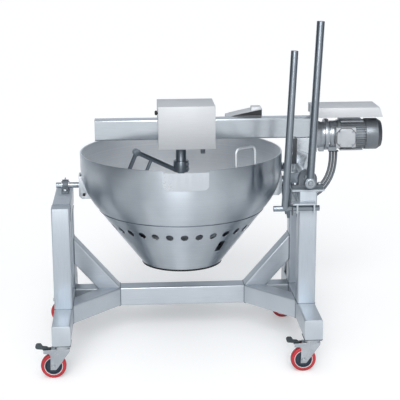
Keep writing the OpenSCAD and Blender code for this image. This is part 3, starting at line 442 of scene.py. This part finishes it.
# black rubber, also used as painted shade on the control box's face
blackRubberAndPaintedShade = mottled("blackGlandRubberAndPaintedShade", "#25272a", "#191a1c", 0.55, 0.0, 1.5, 0.2)
conduitGrey = mottled("greyConduitSheath", "#6a7178", "#535a61", 0.36, 0.1, 2.0, 0.1)
print("materials made:", len(bpy.data.materials))


# Frame

tubeFinishes = {
    "left_foot": satinY, "right_foot": satinY, "centre_beam": satinX, "left_diagonal": satinX,
    "right_diagonal": satinX, "left_brace": satinX, "right_brace": satinX, "rear_struts": satinY,
    "left_front_post": satinZ, "right_front_post": satinZ, "left_centre_post": satinZ,
    "right_centre_post": satinZ, "left_top_tube": satinY, "right_top_tube": satinY,
    "pot_shelf": shelfShadeSteel, "bearing_stands": satinX, "lever_bracket": satinX,
}
for node, finish in tubeFinishes.items():
    carried(softened(node, 0.7 * mm), "frame", finish, (node,))
print("frame tubes done")

weld = {"bead": 2.2 * mm, "corner": 8 * mm, "braceSlope": 49, "diagonalTurn": 48}


def weldLoop(name, corners):
    # a dressed weld round a tube's end: a closed bead
    rounded = []
    for i, corner in enumerate(corners):
        after = corners[(i + 1) % len(corners)]
        rounded += roundedCorner(corners[i - 1], corner, after, weld["corner"], 4)
    return rodAlong(name, rounded, weld["bead"], closed=True, sides=3)


def ringRound(node, level):
    # the corners of an upright tube at one level
    lo, hi = lowHigh(node)
    return [Vector((x, y, level)) for x, y in ((lo.x, lo.y), (hi.x, lo.y), (hi.x, hi.y),
                                               (lo.x, hi.y))]


beads = []
for node in ("left_front_post", "right_front_post", "left_centre_post", "right_centre_post"):
    lo, hi = lowHigh(node)
    beads.append(weldLoop("bead", ringRound(node, lo.z)))
for node in ("left_centre_post", "right_centre_post"):
    lo, hi = lowHigh(node)
    beads.append(weldLoop("bead", ringRound(node, hi.z)))
for node in ("left_top_tube", "right_top_tube"):
    lo, hi = lowHigh(node)
    if node == "right_top_tube":
        hi.x = lo.x + (lowHigh("left_top_tube")[1].x - lowHigh("left_top_tube")[0].x)
    beads.append(weldLoop("bead", [Vector((x, lo.y, z)) for x, z in
                                   ((lo.x, lo.z), (hi.x, lo.z), (hi.x, hi.z), (lo.x, hi.z))]))
for side in ("left", "right"):
    beamLo, beamHi = lowHigh("centre_beam")
    braceLo, braceHi = lowHigh(side + "_brace")
    diagonalLo, diagonalHi = lowHigh(side + "_diagonal")
    wall = braceLo.x if side == "left" else braceHi.x
    away = 1 if side == "left" else -1
    slope = math.radians(weld["braceSlope"])
    run = (braceHi.y - braceLo.y) / math.cos(slope)
    beads.append(weldLoop("bead", [Vector((wall, y, z)) for y, z in (
        (braceLo.y, braceHi.z - run), (braceHi.y, braceHi.z - run),
        (braceHi.y, braceHi.z), (braceLo.y, braceHi.z))]))
    inner = braceHi.x if side == "left" else braceLo.x
    run = (braceHi.y - braceLo.y) / math.sin(slope)
    beads.append(weldLoop("bead", [Vector((x, y, braceLo.z)) for x, y in (
        (inner, braceLo.y), (inner - away * run, braceLo.y),
        (inner - away * run, braceHi.y), (inner, braceHi.y))]))
    turn = math.radians(weld["diagonalTurn"])
    run = (beamHi.y - beamLo.y) / math.sin(turn)
    inner = diagonalHi.x if side == "left" else diagonalLo.x
    beads.append(weldLoop("bead", [Vector((x, diagonalHi.y, z)) for x, z in (
        (inner, diagonalLo.z), (inner - away * run, diagonalLo.z),
        (inner - away * run, diagonalHi.z), (inner, diagonalHi.z))]))
    run = (beamHi.y - beamLo.y) / math.cos(turn)
    wall = diagonalLo.x if side == "left" else diagonalHi.x
    beads.append(weldLoop("bead", [Vector((wall, y, z)) for y, z in (
        (diagonalLo.y, diagonalLo.z), (diagonalLo.y + run, diagonalLo.z),
        (diagonalLo.y + run, diagonalHi.z), (diagonalLo.y, diagonalHi.z))]))
    wall = beamLo.x if side == "left" else beamHi.x
    beads.append(weldLoop("bead", [Vector((wall, y, z)) for y, z in (
        (beamLo.y, beamLo.z), (beamHi.y, beamLo.z), (beamHi.y, beamHi.z), (beamLo.y, beamHi.z))]))
carried(joined("frameWelds", beads), "frame", weldSteel)
print("frame welds done")

# Bearing blocks: castings with a ball bearing insert, a grease nipple and hold-down bolts

blocks = {"edge": 2.5 * mm, "insertWall": 7 * mm, "insertOut": 2.5 * mm, "runningGap": 0.2 * mm}
for node, axis, shaftNode in (("pot_block_left", 0, "trunnion_pins"),
                              ("pot_block_right", 0, "trunnion_pins"),
                              ("arm_block_front", 1, "arm_shaft"),
                              ("arm_block_rear", 1, "arm_shaft")):
    lo, hi = lowHigh(node)
    centre = (lo + hi) / 2
    shaftLo, shaftHi = lowHigh(shaftNode)
    centre.z = (shaftLo.z + shaftHi.z) / 2
    shaftR = (shaftHi.z - shaftLo.z) / 2
    along = Vector((1, 0, 0)) if axis == 0 else Vector((0, 1, 0))
    depth = hi[axis] - lo[axis]
    body = softened(node, blocks["edge"], 40, 3)
    carried(body, "frame", castGrey, (node,))
    start = centre - along * (depth / 2 + blocks["insertOut"])
    r0 = shaftR + blocks["runningGap"]
    r1 = shaftR + blocks["insertWall"]
    length = depth + 2 * blocks["insertOut"]
    insert = lathe(node + "_insert", [(r0, 0), (r1 - 1 * mm, 0), (r1, 1 * mm),
                                      (r1, length - 1 * mm), (r1 - 1 * mm, length), (r0, length)],
                   start, along, 48)
    carried(insert, "frame", zincPlate)
    nipple = lathe(node + "_nipple", [(0, 0), (4.5 * mm, 0), (4.5 * mm, 4 * mm), (2.5 * mm, 5 * mm),
                                      (2.5 * mm, 8 * mm), (3.4 * mm, 10 * mm), (1.5 * mm, 13 * mm),
                                      (0, 13 * mm)],
                   Vector((centre.x, centre.y, hi.z - 1 * mm)), (0, 0, 1), 16)
    carried(nipple, "frame", zincPlate)
bolts = softened("block_bolts", 0.9 * mm, 30, 2)
carried(bolts, "frame", zincPlate, ("block_bolts",))
print("bearing blocks done")


def hexBolt(name, size=12 * mm):
    # a hex head with chamfered corners on a washer, its seat at the origin
    bpy.ops.mesh.primitive_cylinder_add(vertices=6, radius=size * 0.92, depth=size * 0.6,
                                        location=(0, 0, size * 0.45))
    head = settle(named(name))
    softenEdges(head, size * 0.07, 30, 2)
    washer = lathe(name + "Washer", [(0, 0), (size * 1.15, 0), (size * 1.2, size * 0.05),
                                     (size * 1.15, size * 0.15), (0, size * 0.15)],
                   Vector((0, 0, 0)), (0, 0, 1), 32)
    return joined(name, [head, washer])


# Castor plates with four bolts each, and the castors

plates = {"bolt": 8 * mm, "boltIn": 36 * mm, "sheet": 5 * mm}
plateTop = lowHigh("castor_plates")[1].z
carried(softened("castor_plates", 0.6 * mm), "frame", blackZinc, ("castor_plates",))
swivels, rollers = {}, {}
for joint in frame["joints"]:
    for kind, found in (("swivel_", swivels), ("roll_", rollers)):
        if joint["name"].startswith(kind):
            found[joint["name"][-2:]] = Vector(joint["pos_m"])
plateBolt = hexBolt("plateBolt", plates["bolt"])
heads = []
for corner, place in swivels.items():
    for x in (-1, 1):
        for y in (-1, 1):
            spot = Vector((place.x + x * plates["boltIn"], place.y + y * plates["boltIn"],
                           plateTop - plates["sheet"]))
            heads.append(copyTo(plateBolt, spot, axisTurn((0, 0, -1))))
bpy.data.objects.remove(plateBolt)
carried(joined("plateBolts", heads), "frame", zincPlate)

wheelLo, wheelHi = lowHigh("castor_wheel_fl")
wheel = {"radius": (wheelHi.z - wheelLo.z) / 2, "width": 32 * mm, "tyre": 17.5 * mm,
         "band": 3 * mm, "bore": 6.4 * mm, "ribs": 8, "dish": 6 * mm, "axleBolt": 10 * mm,
         "forkOut": 22.2 * mm}
half = wheel["width"] / 2
outer = wheel["radius"]
inner = outer - wheel["tyre"]
crown = [(inner, -half + 1 * mm), (outer - 7 * mm, -half), (outer - 3 * mm, -half + 1.5 * mm),
         (outer - 0.8 * mm, -half + 5 * mm), (outer, -half + 11 * mm), (outer, half - 11 * mm),
         (outer - 0.8 * mm, half - 5 * mm), (outer - 3 * mm, half - 1.5 * mm),
         (outer - 7 * mm, half), (inner, half - 1 * mm)]
tyreShape = lathe("tyreShape", crown, Vector((0, 0, 0)), (0, 1, 0), 96, True, 50)
bandIn = inner - wheel["band"]
bandShape = lathe("bandShape", [(bandIn, -half + 2 * mm), (bandIn + 1 * mm, -half + 0.6 * mm),
                                (inner, -half + 0.6 * mm), (inner, half - 0.6 * mm),
                                (bandIn + 1 * mm, half - 0.6 * mm), (bandIn, half - 2 * mm)],
                  Vector((0, 0, 0)), (0, 1, 0), 96, True, 40)
dish = wheel["dish"]
hubShape = lathe("hubShape", [
    (wheel["bore"], -half - 2 * mm), (15 * mm, -half - 2 * mm), (17 * mm, -half),
    (18 * mm, -half + dish), (bandIn - 8 * mm, -half + dish), (bandIn - 5 * mm, -half + 2 * mm),
    (bandIn, -half + 1.5 * mm), (bandIn, half - 1.5 * mm), (bandIn - 5 * mm, half - 2 * mm),
    (bandIn - 8 * mm, half - dish), (18 * mm, half - dish), (17 * mm, half),
    (15 * mm, half + 2 * mm), (wheel["bore"], half + 2 * mm)],
    Vector((0, 0, 0)), (0, 1, 0), 96, True, 40)
ribs = []
for i in range(wheel["ribs"]):
    turn = Matrix.Rotation(math.tau * i / wheel["ribs"], 4, "Y")
    rib = block("rib", (16 * mm, -half + 2.5 * mm, -1.4 * mm),
                (bandIn - 4 * mm, half - 2.5 * mm, 1.4 * mm), 0.6 * mm)
    rib.matrix_world = turn
    ribs.append(settle(rib))
hubShape = joined("hubShape", [hubShape] + ribs)
axleShape = hexBolt("axleShape", wheel["axleBolt"])
for corner, place in rollers.items():
    tyre = copyTo(tyreShape, place)
    tyre.name = "tyre_" + corner
    carried(tyre, "wheel_" + corner, redTyre, ("castor_wheel_" + corner,))
    band = copyTo(bandShape, place)
    band.name = "band_" + corner
    carried(band, "wheel_" + corner, whiteBand)
    hub = copyTo(hubShape, place)
    hub.name = "hub_" + corner
    carried(hub, "wheel_" + corner, navyNylon)
    forkNode = "castor_fork_" + corner
    fork = softened(forkNode, 0.8 * mm, 30, 2)
    carried(fork, "fork_" + corner, zincPlate, (forkNode,))
    caps = [copyTo(axleShape, place + Vector((0, side * wheel["forkOut"], 0)),
                   axisTurn((0, side, 0))) for side in (-1, 1)]
    carried(joined("axleCaps_" + corner, caps), "fork_" + corner, zincPlate)
for shape in (tyreShape, bandShape, hubShape, axleShape):
    bpy.data.objects.remove(shape)
for side in ("l", "r"):
    node = "brake_pedal_" + side
    carried(softened(node, 1.6 * mm, 30, 3), "pedal_" + side, blackZinc, (node,))
print("castors done")

# Bowl: an elliptic dish under a straight band, with a rolled bead; skirt: a vented cone

rimZ = bowlHi.z
bowl = {"radius": (bowlHi.x - bowlLo.x) / 2, "band": 72 * mm, "depth": 400 * mm, "wall": 4 * mm,
        "bead": 8 * mm, "steps": 30, "notch": 12 * mm, "flat": 48 * mm}
bandZ = rimZ - bowl["band"]


def dishPoint(angle, off):
    return ((bowl["radius"] - off) * math.sin(angle),
            bandZ - (bowl["depth"] - off) * math.cos(angle))


flatAngle = math.asin(bowl["flat"] / bowl["radius"])
angles = [flatAngle + (math.pi / 2 - flatAngle) * i / bowl["steps"]
          for i in range(bowl["steps"] + 1)]
outside = [dishPoint(a, 0) for a in angles]
inside = [dishPoint(a, bowl["wall"]) for a in reversed(angles)]
radius, bead = bowl["radius"], bowl["bead"]
rimBead = [(radius, rimZ - 3 * mm), (radius - 1 * mm, rimZ - 1 * mm), (radius - 3 * mm, rimZ),
           (radius - bead + 3 * mm, rimZ), (radius - bead + 1 * mm, rimZ - 1 * mm),
           (radius - bead, rimZ - 3 * mm), (radius - bead + 1 * mm, rimZ - 5.5 * mm),
           (radius - bowl["wall"], rimZ - 9 * mm)]
outline = [(0, outside[0][1])] + outside + rimBead + inside + [(0, inside[-1][1])]
bowlShell = lathe("bowlShell", outline, potAxis, (0, 0, 1), 144, False, 30)
lipLo, lipHi = lowHigh("pouring_lip")
notch = block("notch", (lipLo.x + 3 * mm, bowlLo.y - 5 * mm, rimZ - bowl["notch"]),
              (lipHi.x - 3 * mm, potAxis.y, rimZ + 5 * mm), 0)
cutWith(bowlShell, notch)
smooth(bowlShell, 30)
carried(bowlShell, "pot", bowlSteel, ("bowl",))
bowlShell.data.materials.append(bowlInside)
# faces that look inward or up take the lighter inside copy: painted light on the lit inside
for face in bowlShell.data.polygons:
    outward = Vector(face.center) - potAxis
    outward.z = 0
    if face.normal.dot(outward) < 0 or face.normal.z > 0.9:
        face.material_index = 1

skirtLo, skirtHi = lowHigh("skirt")
skirt = {"vents": 32, "ventW": 38 * mm, "ventH": 46 * mm, "ventDrop": 73 * mm, "phase": 0.97,
         "portW": 38 * mm, "portH": 78 * mm, "portDrop": 151 * mm, "portTurn": 35.2,
         "wall": 3 * mm, "footR": 213 * mm}
topR = (skirtHi.x - skirtLo.x) / 2
slope = (topR - skirt["footR"]) / (skirtHi.z - skirtLo.z)
skirtShell = lathe("skirtShell", [
    (skirt["footR"], skirtLo.z), (topR - 1 * mm, skirtHi.z - 1 * mm), (topR - 1.5 * mm, skirtHi.z),
    (topR - skirt["wall"], skirtHi.z), (skirt["footR"] - skirt["wall"], skirtLo.z)],
    potAxis, (0, 0, 1), 144, True, 40)
ventR = topR - slope * skirt["ventDrop"]
tilt = math.atan(slope)


def throughSkirt(shape, degrees, drop):
    # turns a shape that lies along X about the pot's axis, square to the cone
    reach = ventR - slope * (drop - skirt["ventDrop"])
    shape.matrix_world = (Matrix.Translation(potAxis)
                          @ Matrix.Rotation(math.radians(degrees - 90), 4, "Z")
                          @ Matrix.Translation((reach, 0, skirtHi.z - drop))
                          @ Matrix.Rotation(tilt, 4, "Y"))
    return settle(shape)


plugs = []
for i in range(skirt["vents"]):
    bpy.ops.mesh.primitive_cylinder_add(vertices=40, radius=0.5, depth=1,
                                        rotation=(0, math.pi / 2, 0))
    plug = settle(named("plug"))
    plug.scale = (40 * mm, skirt["ventW"], skirt["ventH"])
    plugs.append(throughSkirt(settle(plug), 360 * (i + skirt["phase"]) / skirt["vents"],
                              skirt["ventDrop"]))
bpy.ops.mesh.primitive_cube_add(size=1, scale=(30 * mm, skirt["portW"], skirt["portH"]))
port = settle(named("port"))
softenEdges(port, 4 * mm)
plugs.append(throughSkirt(port, skirt["portTurn"], skirt["portDrop"]))
cutWith(skirtShell, joined("plugs", plugs))
smooth(skirtShell, 30)
carried(skirtShell, "pot", skirtSteel, ("skirt",))
seam = []
for i in range(96):
    a = math.tau * i / 96
    seam.append(potAxis + Vector(((topR - 1 * mm) * math.cos(a), (topR - 1 * mm) * math.sin(a),
                                  skirtHi.z + 0.5 * mm)))
carried(rodAlong("skirtSeam", seam, 2 * mm, True, 3), "pot", weldSteel)
carried(softened("base_ring", 1.2 * mm), "pot", burntIron, ("base_ring",))
carried(softened("burner", 0.6 * mm), "pot", burntIron, ("burner",))
carried(softened("pouring_lip", 0.5 * mm), "pot", brightSheet, ("pouring_lip",))
carried(softened("pot_brackets", 1.2 * mm), "pot", brightSheet, ("pot_brackets",))
carried(softened("trunnion_pins", 1.2 * mm), "pot", pinBar, ("trunnion_pins",))
# a rubber plug in the front of the left bracket
bracketPlug = {"in": 26 * mm, "underPin": 41 * mm, "seat": 0.5 * mm}
bracketLo = lowHigh("pot_brackets")[0]
pinLo, pinHi = lowHigh("trunnion_pins")
plug = lathe("bracketPlug", [(0, 0), (8 * mm, 0), (8 * mm, 3 * mm), (6 * mm, 4.5 * mm),
                             (0, 4.5 * mm)],
             Vector((bracketLo.x + bracketPlug["in"], bracketLo.y + bracketPlug["seat"],
                     (pinLo.z + pinHi.z) / 2 - bracketPlug["underPin"])), (0, -1, 0), 32)
carried(plug, "pot", blackRubberAndPaintedShade)

# Rim handle: one bent rod
carried(softened("rim_handle", 0.4 * mm, 50), "pot", brightSheet, ("rim_handle",))
print("bowl and skirt done")

# Arm

for node, finish, slot, edge in (
        ("arm_beam", beamSteel, "brushed", 0.8 * mm),
        ("arm_neck", beamSteel, "brushed", 1.0 * mm),
        ("head_cover", coverSteel, "brushed", 1.2 * mm),
        ("gearbox", gearGrey, "gear_grey", 1.5 * mm),
        ("arm_shaft", brightSheet, "polished", 1.0 * mm),
        ("long_lever", brightBar, "polished", 1.5 * mm),
        ("reducer", gearGrey, "gear_grey", 1.5 * mm),
        ("motor_body", motorSilver, "motor_silver", 0.5 * mm),
        ("terminal_box", lidSilver, "motor_silver", 1.8 * mm),
        ("motor_hood", coverSteel, "brushed", 0.8 * mm),
        ("control_box", coverSteel, "brushed", 1.2 * mm)):
    carried(softened(node, edge), "arm", finish, (node,))
# Fan cover: grey sheet, its end darker
darkEnd = lowHigh("fan_cover")[1].x - 21 * mm
fan = softened("fan_cover", 1.5 * mm)
carried(fan, "arm", fanGrey, ("fan_cover",))
fan.data.materials.append(darkEnamelAndPaintedShade)
for face in fan.data.polygons:
    if face.center.x > darkEnd:
        face.material_index = 1

# Head: a black knob on the left side of the cover, near its front and top
knobAt = {"in": 1 * mm, "back": 40 * mm, "down": 36 * mm}
headLo, headHi = lowHigh("head_cover")
knob = lathe("coverKnob", [(0, 0), (6 * mm, 0), (6 * mm, 4 * mm), (10 * mm, 5 * mm),
                           (12 * mm, 8 * mm), (12 * mm, 14 * mm), (9 * mm, 17 * mm), (0, 18 * mm)],
             Vector((headLo.x + knobAt["in"], headLo.y + knobAt["back"],
                     headHi.z - knobAt["down"])), (-1, 0, 0), 32)
carried(knob, "arm", blackRubberAndPaintedShade)

# Control box: a dark sheet on the face under the sloping lid, painted shade under the lid's overhang, and the
# lid's folded edge
boxLo, boxHi = lowHigh("control_box")
beamTop = lowHigh("arm_beam")[1].z
lid = {"low": beamTop - 4 * mm, "high": beamTop + 34 * mm, "sheet": 3 * mm, "out": 3 * mm}


def onLid(x):
    return lid["low"] + (lid["high"] - lid["low"]) * (x - boxLo.x) / (boxHi.x - boxLo.x)


start = boxLo.x + 30 * mm
boxShadeSheet = prism("boxPaintedShade", [(start, beamTop + 0.3 * mm), (start, onLid(start) - 1 * mm),
                             (boxHi.x - 1 * mm, onLid(boxHi.x) - 1 * mm),
                             (boxHi.x - 1 * mm, beamTop + 0.3 * mm)],
               boxLo.y - 1.5 * mm, boxLo.y + 1 * mm, 0)
carried(boxShadeSheet, "arm", blackRubberAndPaintedShade)
tip = boxLo.x + 20.5 * mm
fold = prism("boxLid", [(tip, onLid(tip) + 0.5 * mm), (tip, onLid(tip) + lid["sheet"] / 2),
                        (boxHi.x + 1 * mm, onLid(boxHi.x) + lid["sheet"]),
                        (boxHi.x + 1 * mm, onLid(boxHi.x))],
             boxLo.y - lid["out"], boxHi.y + 1 * mm, 0.6 * mm)
carried(fold, "arm", coverSteel)

# Neck: a dark plate down its front face, painted shade for the neck's shaded side
neckLo, neckHi = lowHigh("arm_neck")
plate = {"left": neckLo.x + 4 * mm, "step": neckLo.x + 15 * mm, "right": neckLo.x + 36 * mm,
         "foot": neckLo.z + 50 * mm, "top": neckHi.z - 2 * mm, "out": 5 * mm, "in": 9 * mm}
stop = prism("neckPaintedShade", [(plate["left"], plate["foot"]),
                           (plate["left"], neckLo.z + 75 * mm),
                           (plate["step"], neckLo.z + 105 * mm),
                           (plate["step"], plate["top"]),
                           (plate["right"], plate["top"]),
                           (plate["right"], plate["foot"])],
             neckLo.y - plate["out"], neckLo.y + plate["in"], 0.6 * mm)
carried(stop, "arm", darkEnamelAndPaintedShade)

# A turned disc and a screw hold the lever on the front end of the shaft
armShaftLo, armShaftHi = lowHigh("arm_shaft")
shaftEnd = Vector(((armShaftLo.x + armShaftHi.x) / 2, armShaftLo.y + 0.5 * mm,
                   (armShaftLo.z + armShaftHi.z) / 2))
disc = lathe("shaftDisc", [(0, 0), (20 * mm, 0), (21 * mm, 1 * mm), (21 * mm, 4 * mm),
                           (19 * mm, 5 * mm), (13 * mm, 5 * mm), (11.5 * mm, 3 * mm),
                           (10 * mm, 3 * mm), (9 * mm, 8 * mm), (5 * mm, 8.5 * mm),
                           (4.5 * mm, 5 * mm), (0, 5 * mm)], shaftEnd, (0, -1, 0), 48)
carried(disc, "arm", zincPlate)

# Reducer and motor: flange bolts, terminal lid with its gasket and screws
motorLo, motorHi = lowHigh("motor_body")
motorAxis = Vector((0, (motorLo.y + motorHi.y) / 2, (motorLo.z + motorHi.z) / 2))
flange = {"face": lowHigh("reducer")[0].x + 74 * mm, "reach": 73.5 * mm, "bolt": 7 * mm}
flangeBolt = hexBolt("flangeBolt", flange["bolt"])
heads = []
for turned in range(30, 360, 60):
    a = math.radians(turned)
    heads.append(copyTo(flangeBolt, Vector((flange["face"],
                                            motorAxis.y + flange["reach"] * math.cos(a),
                                            motorAxis.z + flange["reach"] * math.sin(a))),
                        axisTurn((1, 0, 0))))
bpy.data.objects.remove(flangeBolt)
carried(joined("flangeBolts", heads), "arm", zincPlate)
termLo, termHi = lowHigh("terminal_box")
termX, termZ = (termLo.x + termHi.x) / 2, (termLo.z + termHi.z) / 2
box = {"half": (termHi.x - termLo.x) / 2, "rim": 1.5 * mm, "corner": 24.5 * mm,
       "screwOut": 33 * mm}
wide, narrow = box["half"] - box["rim"], box["half"] - box["corner"]
octagon = [(-wide, -narrow), (-wide, narrow), (-narrow, wide), (narrow, wide),
           (wide, narrow), (wide, -narrow), (narrow, -wide), (-narrow, -wide)]
carried(prism("lidGasket", [(termX + x, termZ + z) for x, z in octagon],
              termLo.y + 6.2 * mm, termLo.y + 8.5 * mm, 0), "arm", blackRubberAndPaintedShade)
screws = []
for x in (-1, 1):
    for z in (-1, 1):
        place = Vector((termX + x * box["screwOut"], termLo.y + 0.5 * mm,
                        termZ + z * box["screwOut"]))
        screws.append(lathe("screw", [(0, 0), (4.5 * mm, 0), (4.5 * mm, 1.5 * mm),
                                      (3 * mm, 3 * mm), (1.5 * mm, 3 * mm), (1.5 * mm, 1.4 * mm),
                                      (0, 1.4 * mm)], place, (0, -1, 0), 20))
carried(joined("lidScrews", screws), "arm", zincPlate)
print("arm done")

# Stirrer

for node, finish, slot, edge in (
        ("stirrer_shaft", brightBar, "polished", 1.5 * mm),
        ("stirrer_arm", brightBar, "polished", 0.8 * mm),
        ("scraper_bar", brightSheet, "polished", 1.2 * mm),
        ("scraper_blades", whiteBlade, "white_blade", 1.5 * mm)):
    carried(softened(node, edge), "stirrer", finish, (node,))
carried(softened("lock_lever", 1.5 * mm), "lock_lever_body", brightBar, ("lock_lever",))
# a spring clip through the cross bar keeps the lever in its bracket
leverLo, leverHi = lowHigh("lock_lever")
clipAt = Vector((leverLo.x + 92 * mm, (leverLo.y + leverHi.y) / 2, leverLo.z + 14 * mm))
clip = rodAlong("springClip", [clipAt + Vector((x * mm, y * mm, z * mm)) for x, y, z in (
    (0, 0, 22), (0, 0, -22), (0, -6, -34), (0, -16, -30), (0, -19, -18), (0, -16, -6),
    (0, -18, 6), (0, -24, 14))], 2 * mm, sides=3, bend=5 * mm)
carried(clip, "lock_lever_body", darkEnamelAndPaintedShade)
# clamp bolts across the stirrer's hub
shaftLo, shaftHi = lowHigh("stirrer_shaft")
clamp = {"bolt": 9 * mm, "turn": math.radians(-35), "levels": (16 * mm, 42 * mm)}
hubTop = rimZ - 57 * mm  # as in the part's source
hub = Vector(((shaftLo.x + shaftHi.x) / 2, (shaftLo.y + shaftHi.y) / 2, 0))
hubBolt = hexBolt("hubBolt", clamp["bolt"])
out = Vector((math.cos(clamp["turn"]), math.sin(clamp["turn"]), 0))
heads = []
for level in clamp["levels"]:
    heads.append(copyTo(hubBolt, hub + out * (shaftHi.x - hub.x)
                        + Vector((0, 0, hubTop - level)), axisTurn(out)))
bpy.data.objects.remove(hubBolt)
carried(joined("hubBolts", heads), "stirrer", zincPlate)

# Cables: three ribbed conduits side by side

cable = {"radius": 7 * mm, "step": 15.5 * mm, "rib": 4 * mm, "ribDepth": 0.025}
routeMm = [(800, 992), (800, 968), (799, 940), (796, 911), (790, 881), (780, 852),
           (766, 825), (748, 800), (727, 779), (703, 762), (680, 752)]  # as in the part's source
cableLo, cableHi = lowHigh("cables")
shift = cableHi.x - (routeMm[0][0] * mm + cable["step"] + cable["radius"])
cableY = (cableLo.y + cableHi.y) / 2
route = [Vector((x * mm + shift, cableY, z * mm)) for x, z in routeMm]


def routeDirection(i):
    if i == 0:
        return Vector((0, 0, -1))
    if i == len(route) - 1:
        return Vector((-1, 0, 0))
    return (route[i + 1] - route[i - 1]).normalized()


for number, side in enumerate((-1, 0, 1)):
    strand = []
    for i, point in enumerate(route):
        heading = routeDirection(i)
        strand.append(point + Vector((-heading.z, 0, heading.x)) * side * cable["step"])
    name = "conduit" + "ABC"[number]
    dense = []
    for a, b in zip(strand, strand[1:]):
        count = max(2, round((b - a).length / (cable["rib"] / 2)))
        dense += [a.lerp(b, k / count) for k in range(count)]
    dense.append(strand[-1])
    obj = rodAlong(name, dense, cable["radius"], sides=4, ribs=cable["ribDepth"])
    obj.data.materials.append(conduitGrey)
    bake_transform(obj)
    if number == 1:
        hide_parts("cables")
# thin rubber seals: the arm brings the upper one down beside the lower one
seal = {"along": cable["step"] + 11 * mm, "deep": 12 * mm}
near, far = cableY - seal["deep"], cableY + seal["deep"]
upper = block("upperSeal", (route[0].x - seal["along"], near, route[0].z - 5 * mm),
              (route[0].x + seal["along"], far, route[0].z - 1 * mm), 1 * mm)
carried(upper, "arm", blackRubberAndPaintedShade)
lower = block("lowerSeal", (route[-1].x - 1 * mm, near, route[-1].z - seal["along"]),
              (route[-1].x + 1.8 * mm, far, route[-1].z + seal["along"]), 0.8 * mm)
carried(lower, "frame", blackRubberAndPaintedShade)
print("cables done")

# Studio: a pale floor, a soft key from the front, a soft lamp from above and a plain sky

floor = {"size": 120.0, "tint": "#e2e2e2", "glow": 0.3}
bpy.ops.mesh.primitive_plane_add(size=floor["size"])
floorPiece = named("studioFloor")
floorPaint, floorTree, floorSurface = newMaterial("paleFloorPaint", Roughness=0.9,
                                                  Base_Color=shade(floor["tint"]))
# the white background: a little glow that the camera and reflections see, over the shadow
rays = addNode(floorTree, "ShaderNodeLightPath")
seen = addNode(floorTree, "ShaderNodeMath", {0: rays.outputs["Is Camera Ray"],
                                             1: rays.outputs["Is Glossy Ray"]}, operation="ADD")
seen = addNode(floorTree, "ShaderNodeMath",
               {0: seen.outputs[0], 1: rays.outputs["Is Transmission Ray"]}, operation="ADD")
glow = addNode(floorTree, "ShaderNodeMath", {0: seen.outputs[0], 1: floor["glow"]},
               operation="MULTIPLY")
floorTree.links.new(glow.outputs[0], floorSurface.inputs["Emission Strength"])
floorSurface.inputs["Emission Color"].default_value = grey(1.0)
floorPiece.data.materials.append(floorPaint)

sky = bpy.data.worlds.new("studioSky")
bpy.context.scene.world = sky
sky.use_nodes = True
sky.node_tree.nodes.clear()
skyPlace = addNode(sky.node_tree, "ShaderNodeTexCoord").outputs["Generated"]
skyParts = addNode(sky.node_tree, "ShaderNodeSeparateXYZ", {0: skyPlace})
# white in front of the machine, slate at its sides, pale grey behind it
towards = addNode(sky.node_tree, "ShaderNodeMath", {0: skyParts.outputs[1], 1: -0.5, 2: 0.5},
                  operation="MULTIPLY_ADD")
skyRamp = addNode(sky.node_tree, "ShaderNodeValToRGB", {"Fac": towards.outputs[0]})
skyStops = skyRamp.color_ramp.elements
skyStops[0].position = 0.05
skyStops[0].color = shade("#b6bcc3")
skyStops[1].position = 0.93
skyStops[1].color = shade("#ffffff")
for spot in (0.3, 0.62):
    skyStops.new(spot).color = shade("#36404b")
skyLight = addNode(sky.node_tree, "ShaderNodeBackground", {"Color": skyRamp.outputs[0],
                                                           "Strength": 1.25})
addNode(sky.node_tree, "ShaderNodeOutputWorld", {"Surface": skyLight.outputs[0]})

lamps = {
    "key": {"turn": (58, 0, -6), "energy": 1.7, "spread": 30},
    "top": {"turn": (8, 0, 0), "energy": 1.0, "spread": 50},
}
for name, lamp in lamps.items():
    light = bpy.data.lights.new(name, "SUN")
    light.energy = lamp["energy"]
    light.angle = math.radians(lamp["spread"])
    lampObject = bpy.data.objects.new(name, light)
    lampObject.rotation_euler = [math.radians(v) for v in lamp["turn"]]
    bpy.context.collection.objects.link(lampObject)

view = {"place": (-0.40766, -5.8256, 2.20625), "down": 14.03, "turn": 3.45, "roll": -0.28,
        "lens": 103.5}
cameraData = bpy.data.cameras.new("camera")
cameraData.lens = view["lens"]
cameraData.sensor_width = 36
cameraData.clip_end = 200
camera = bpy.data.objects.new("camera", cameraData)
camera.matrix_world = (Matrix.Translation(view["place"])
                       @ Matrix.Rotation(math.radians(-view["turn"]), 4, "Z")
                       @ Matrix.Rotation(math.radians(90 - view["down"]), 4, "X")
                       @ Matrix.Rotation(math.radians(view["roll"]), 4, "Z"))
bpy.context.collection.objects.link(camera)
bpy.context.scene.camera = camera
bpy.context.scene.view_settings.view_transform = "Standard"

print("studio done")
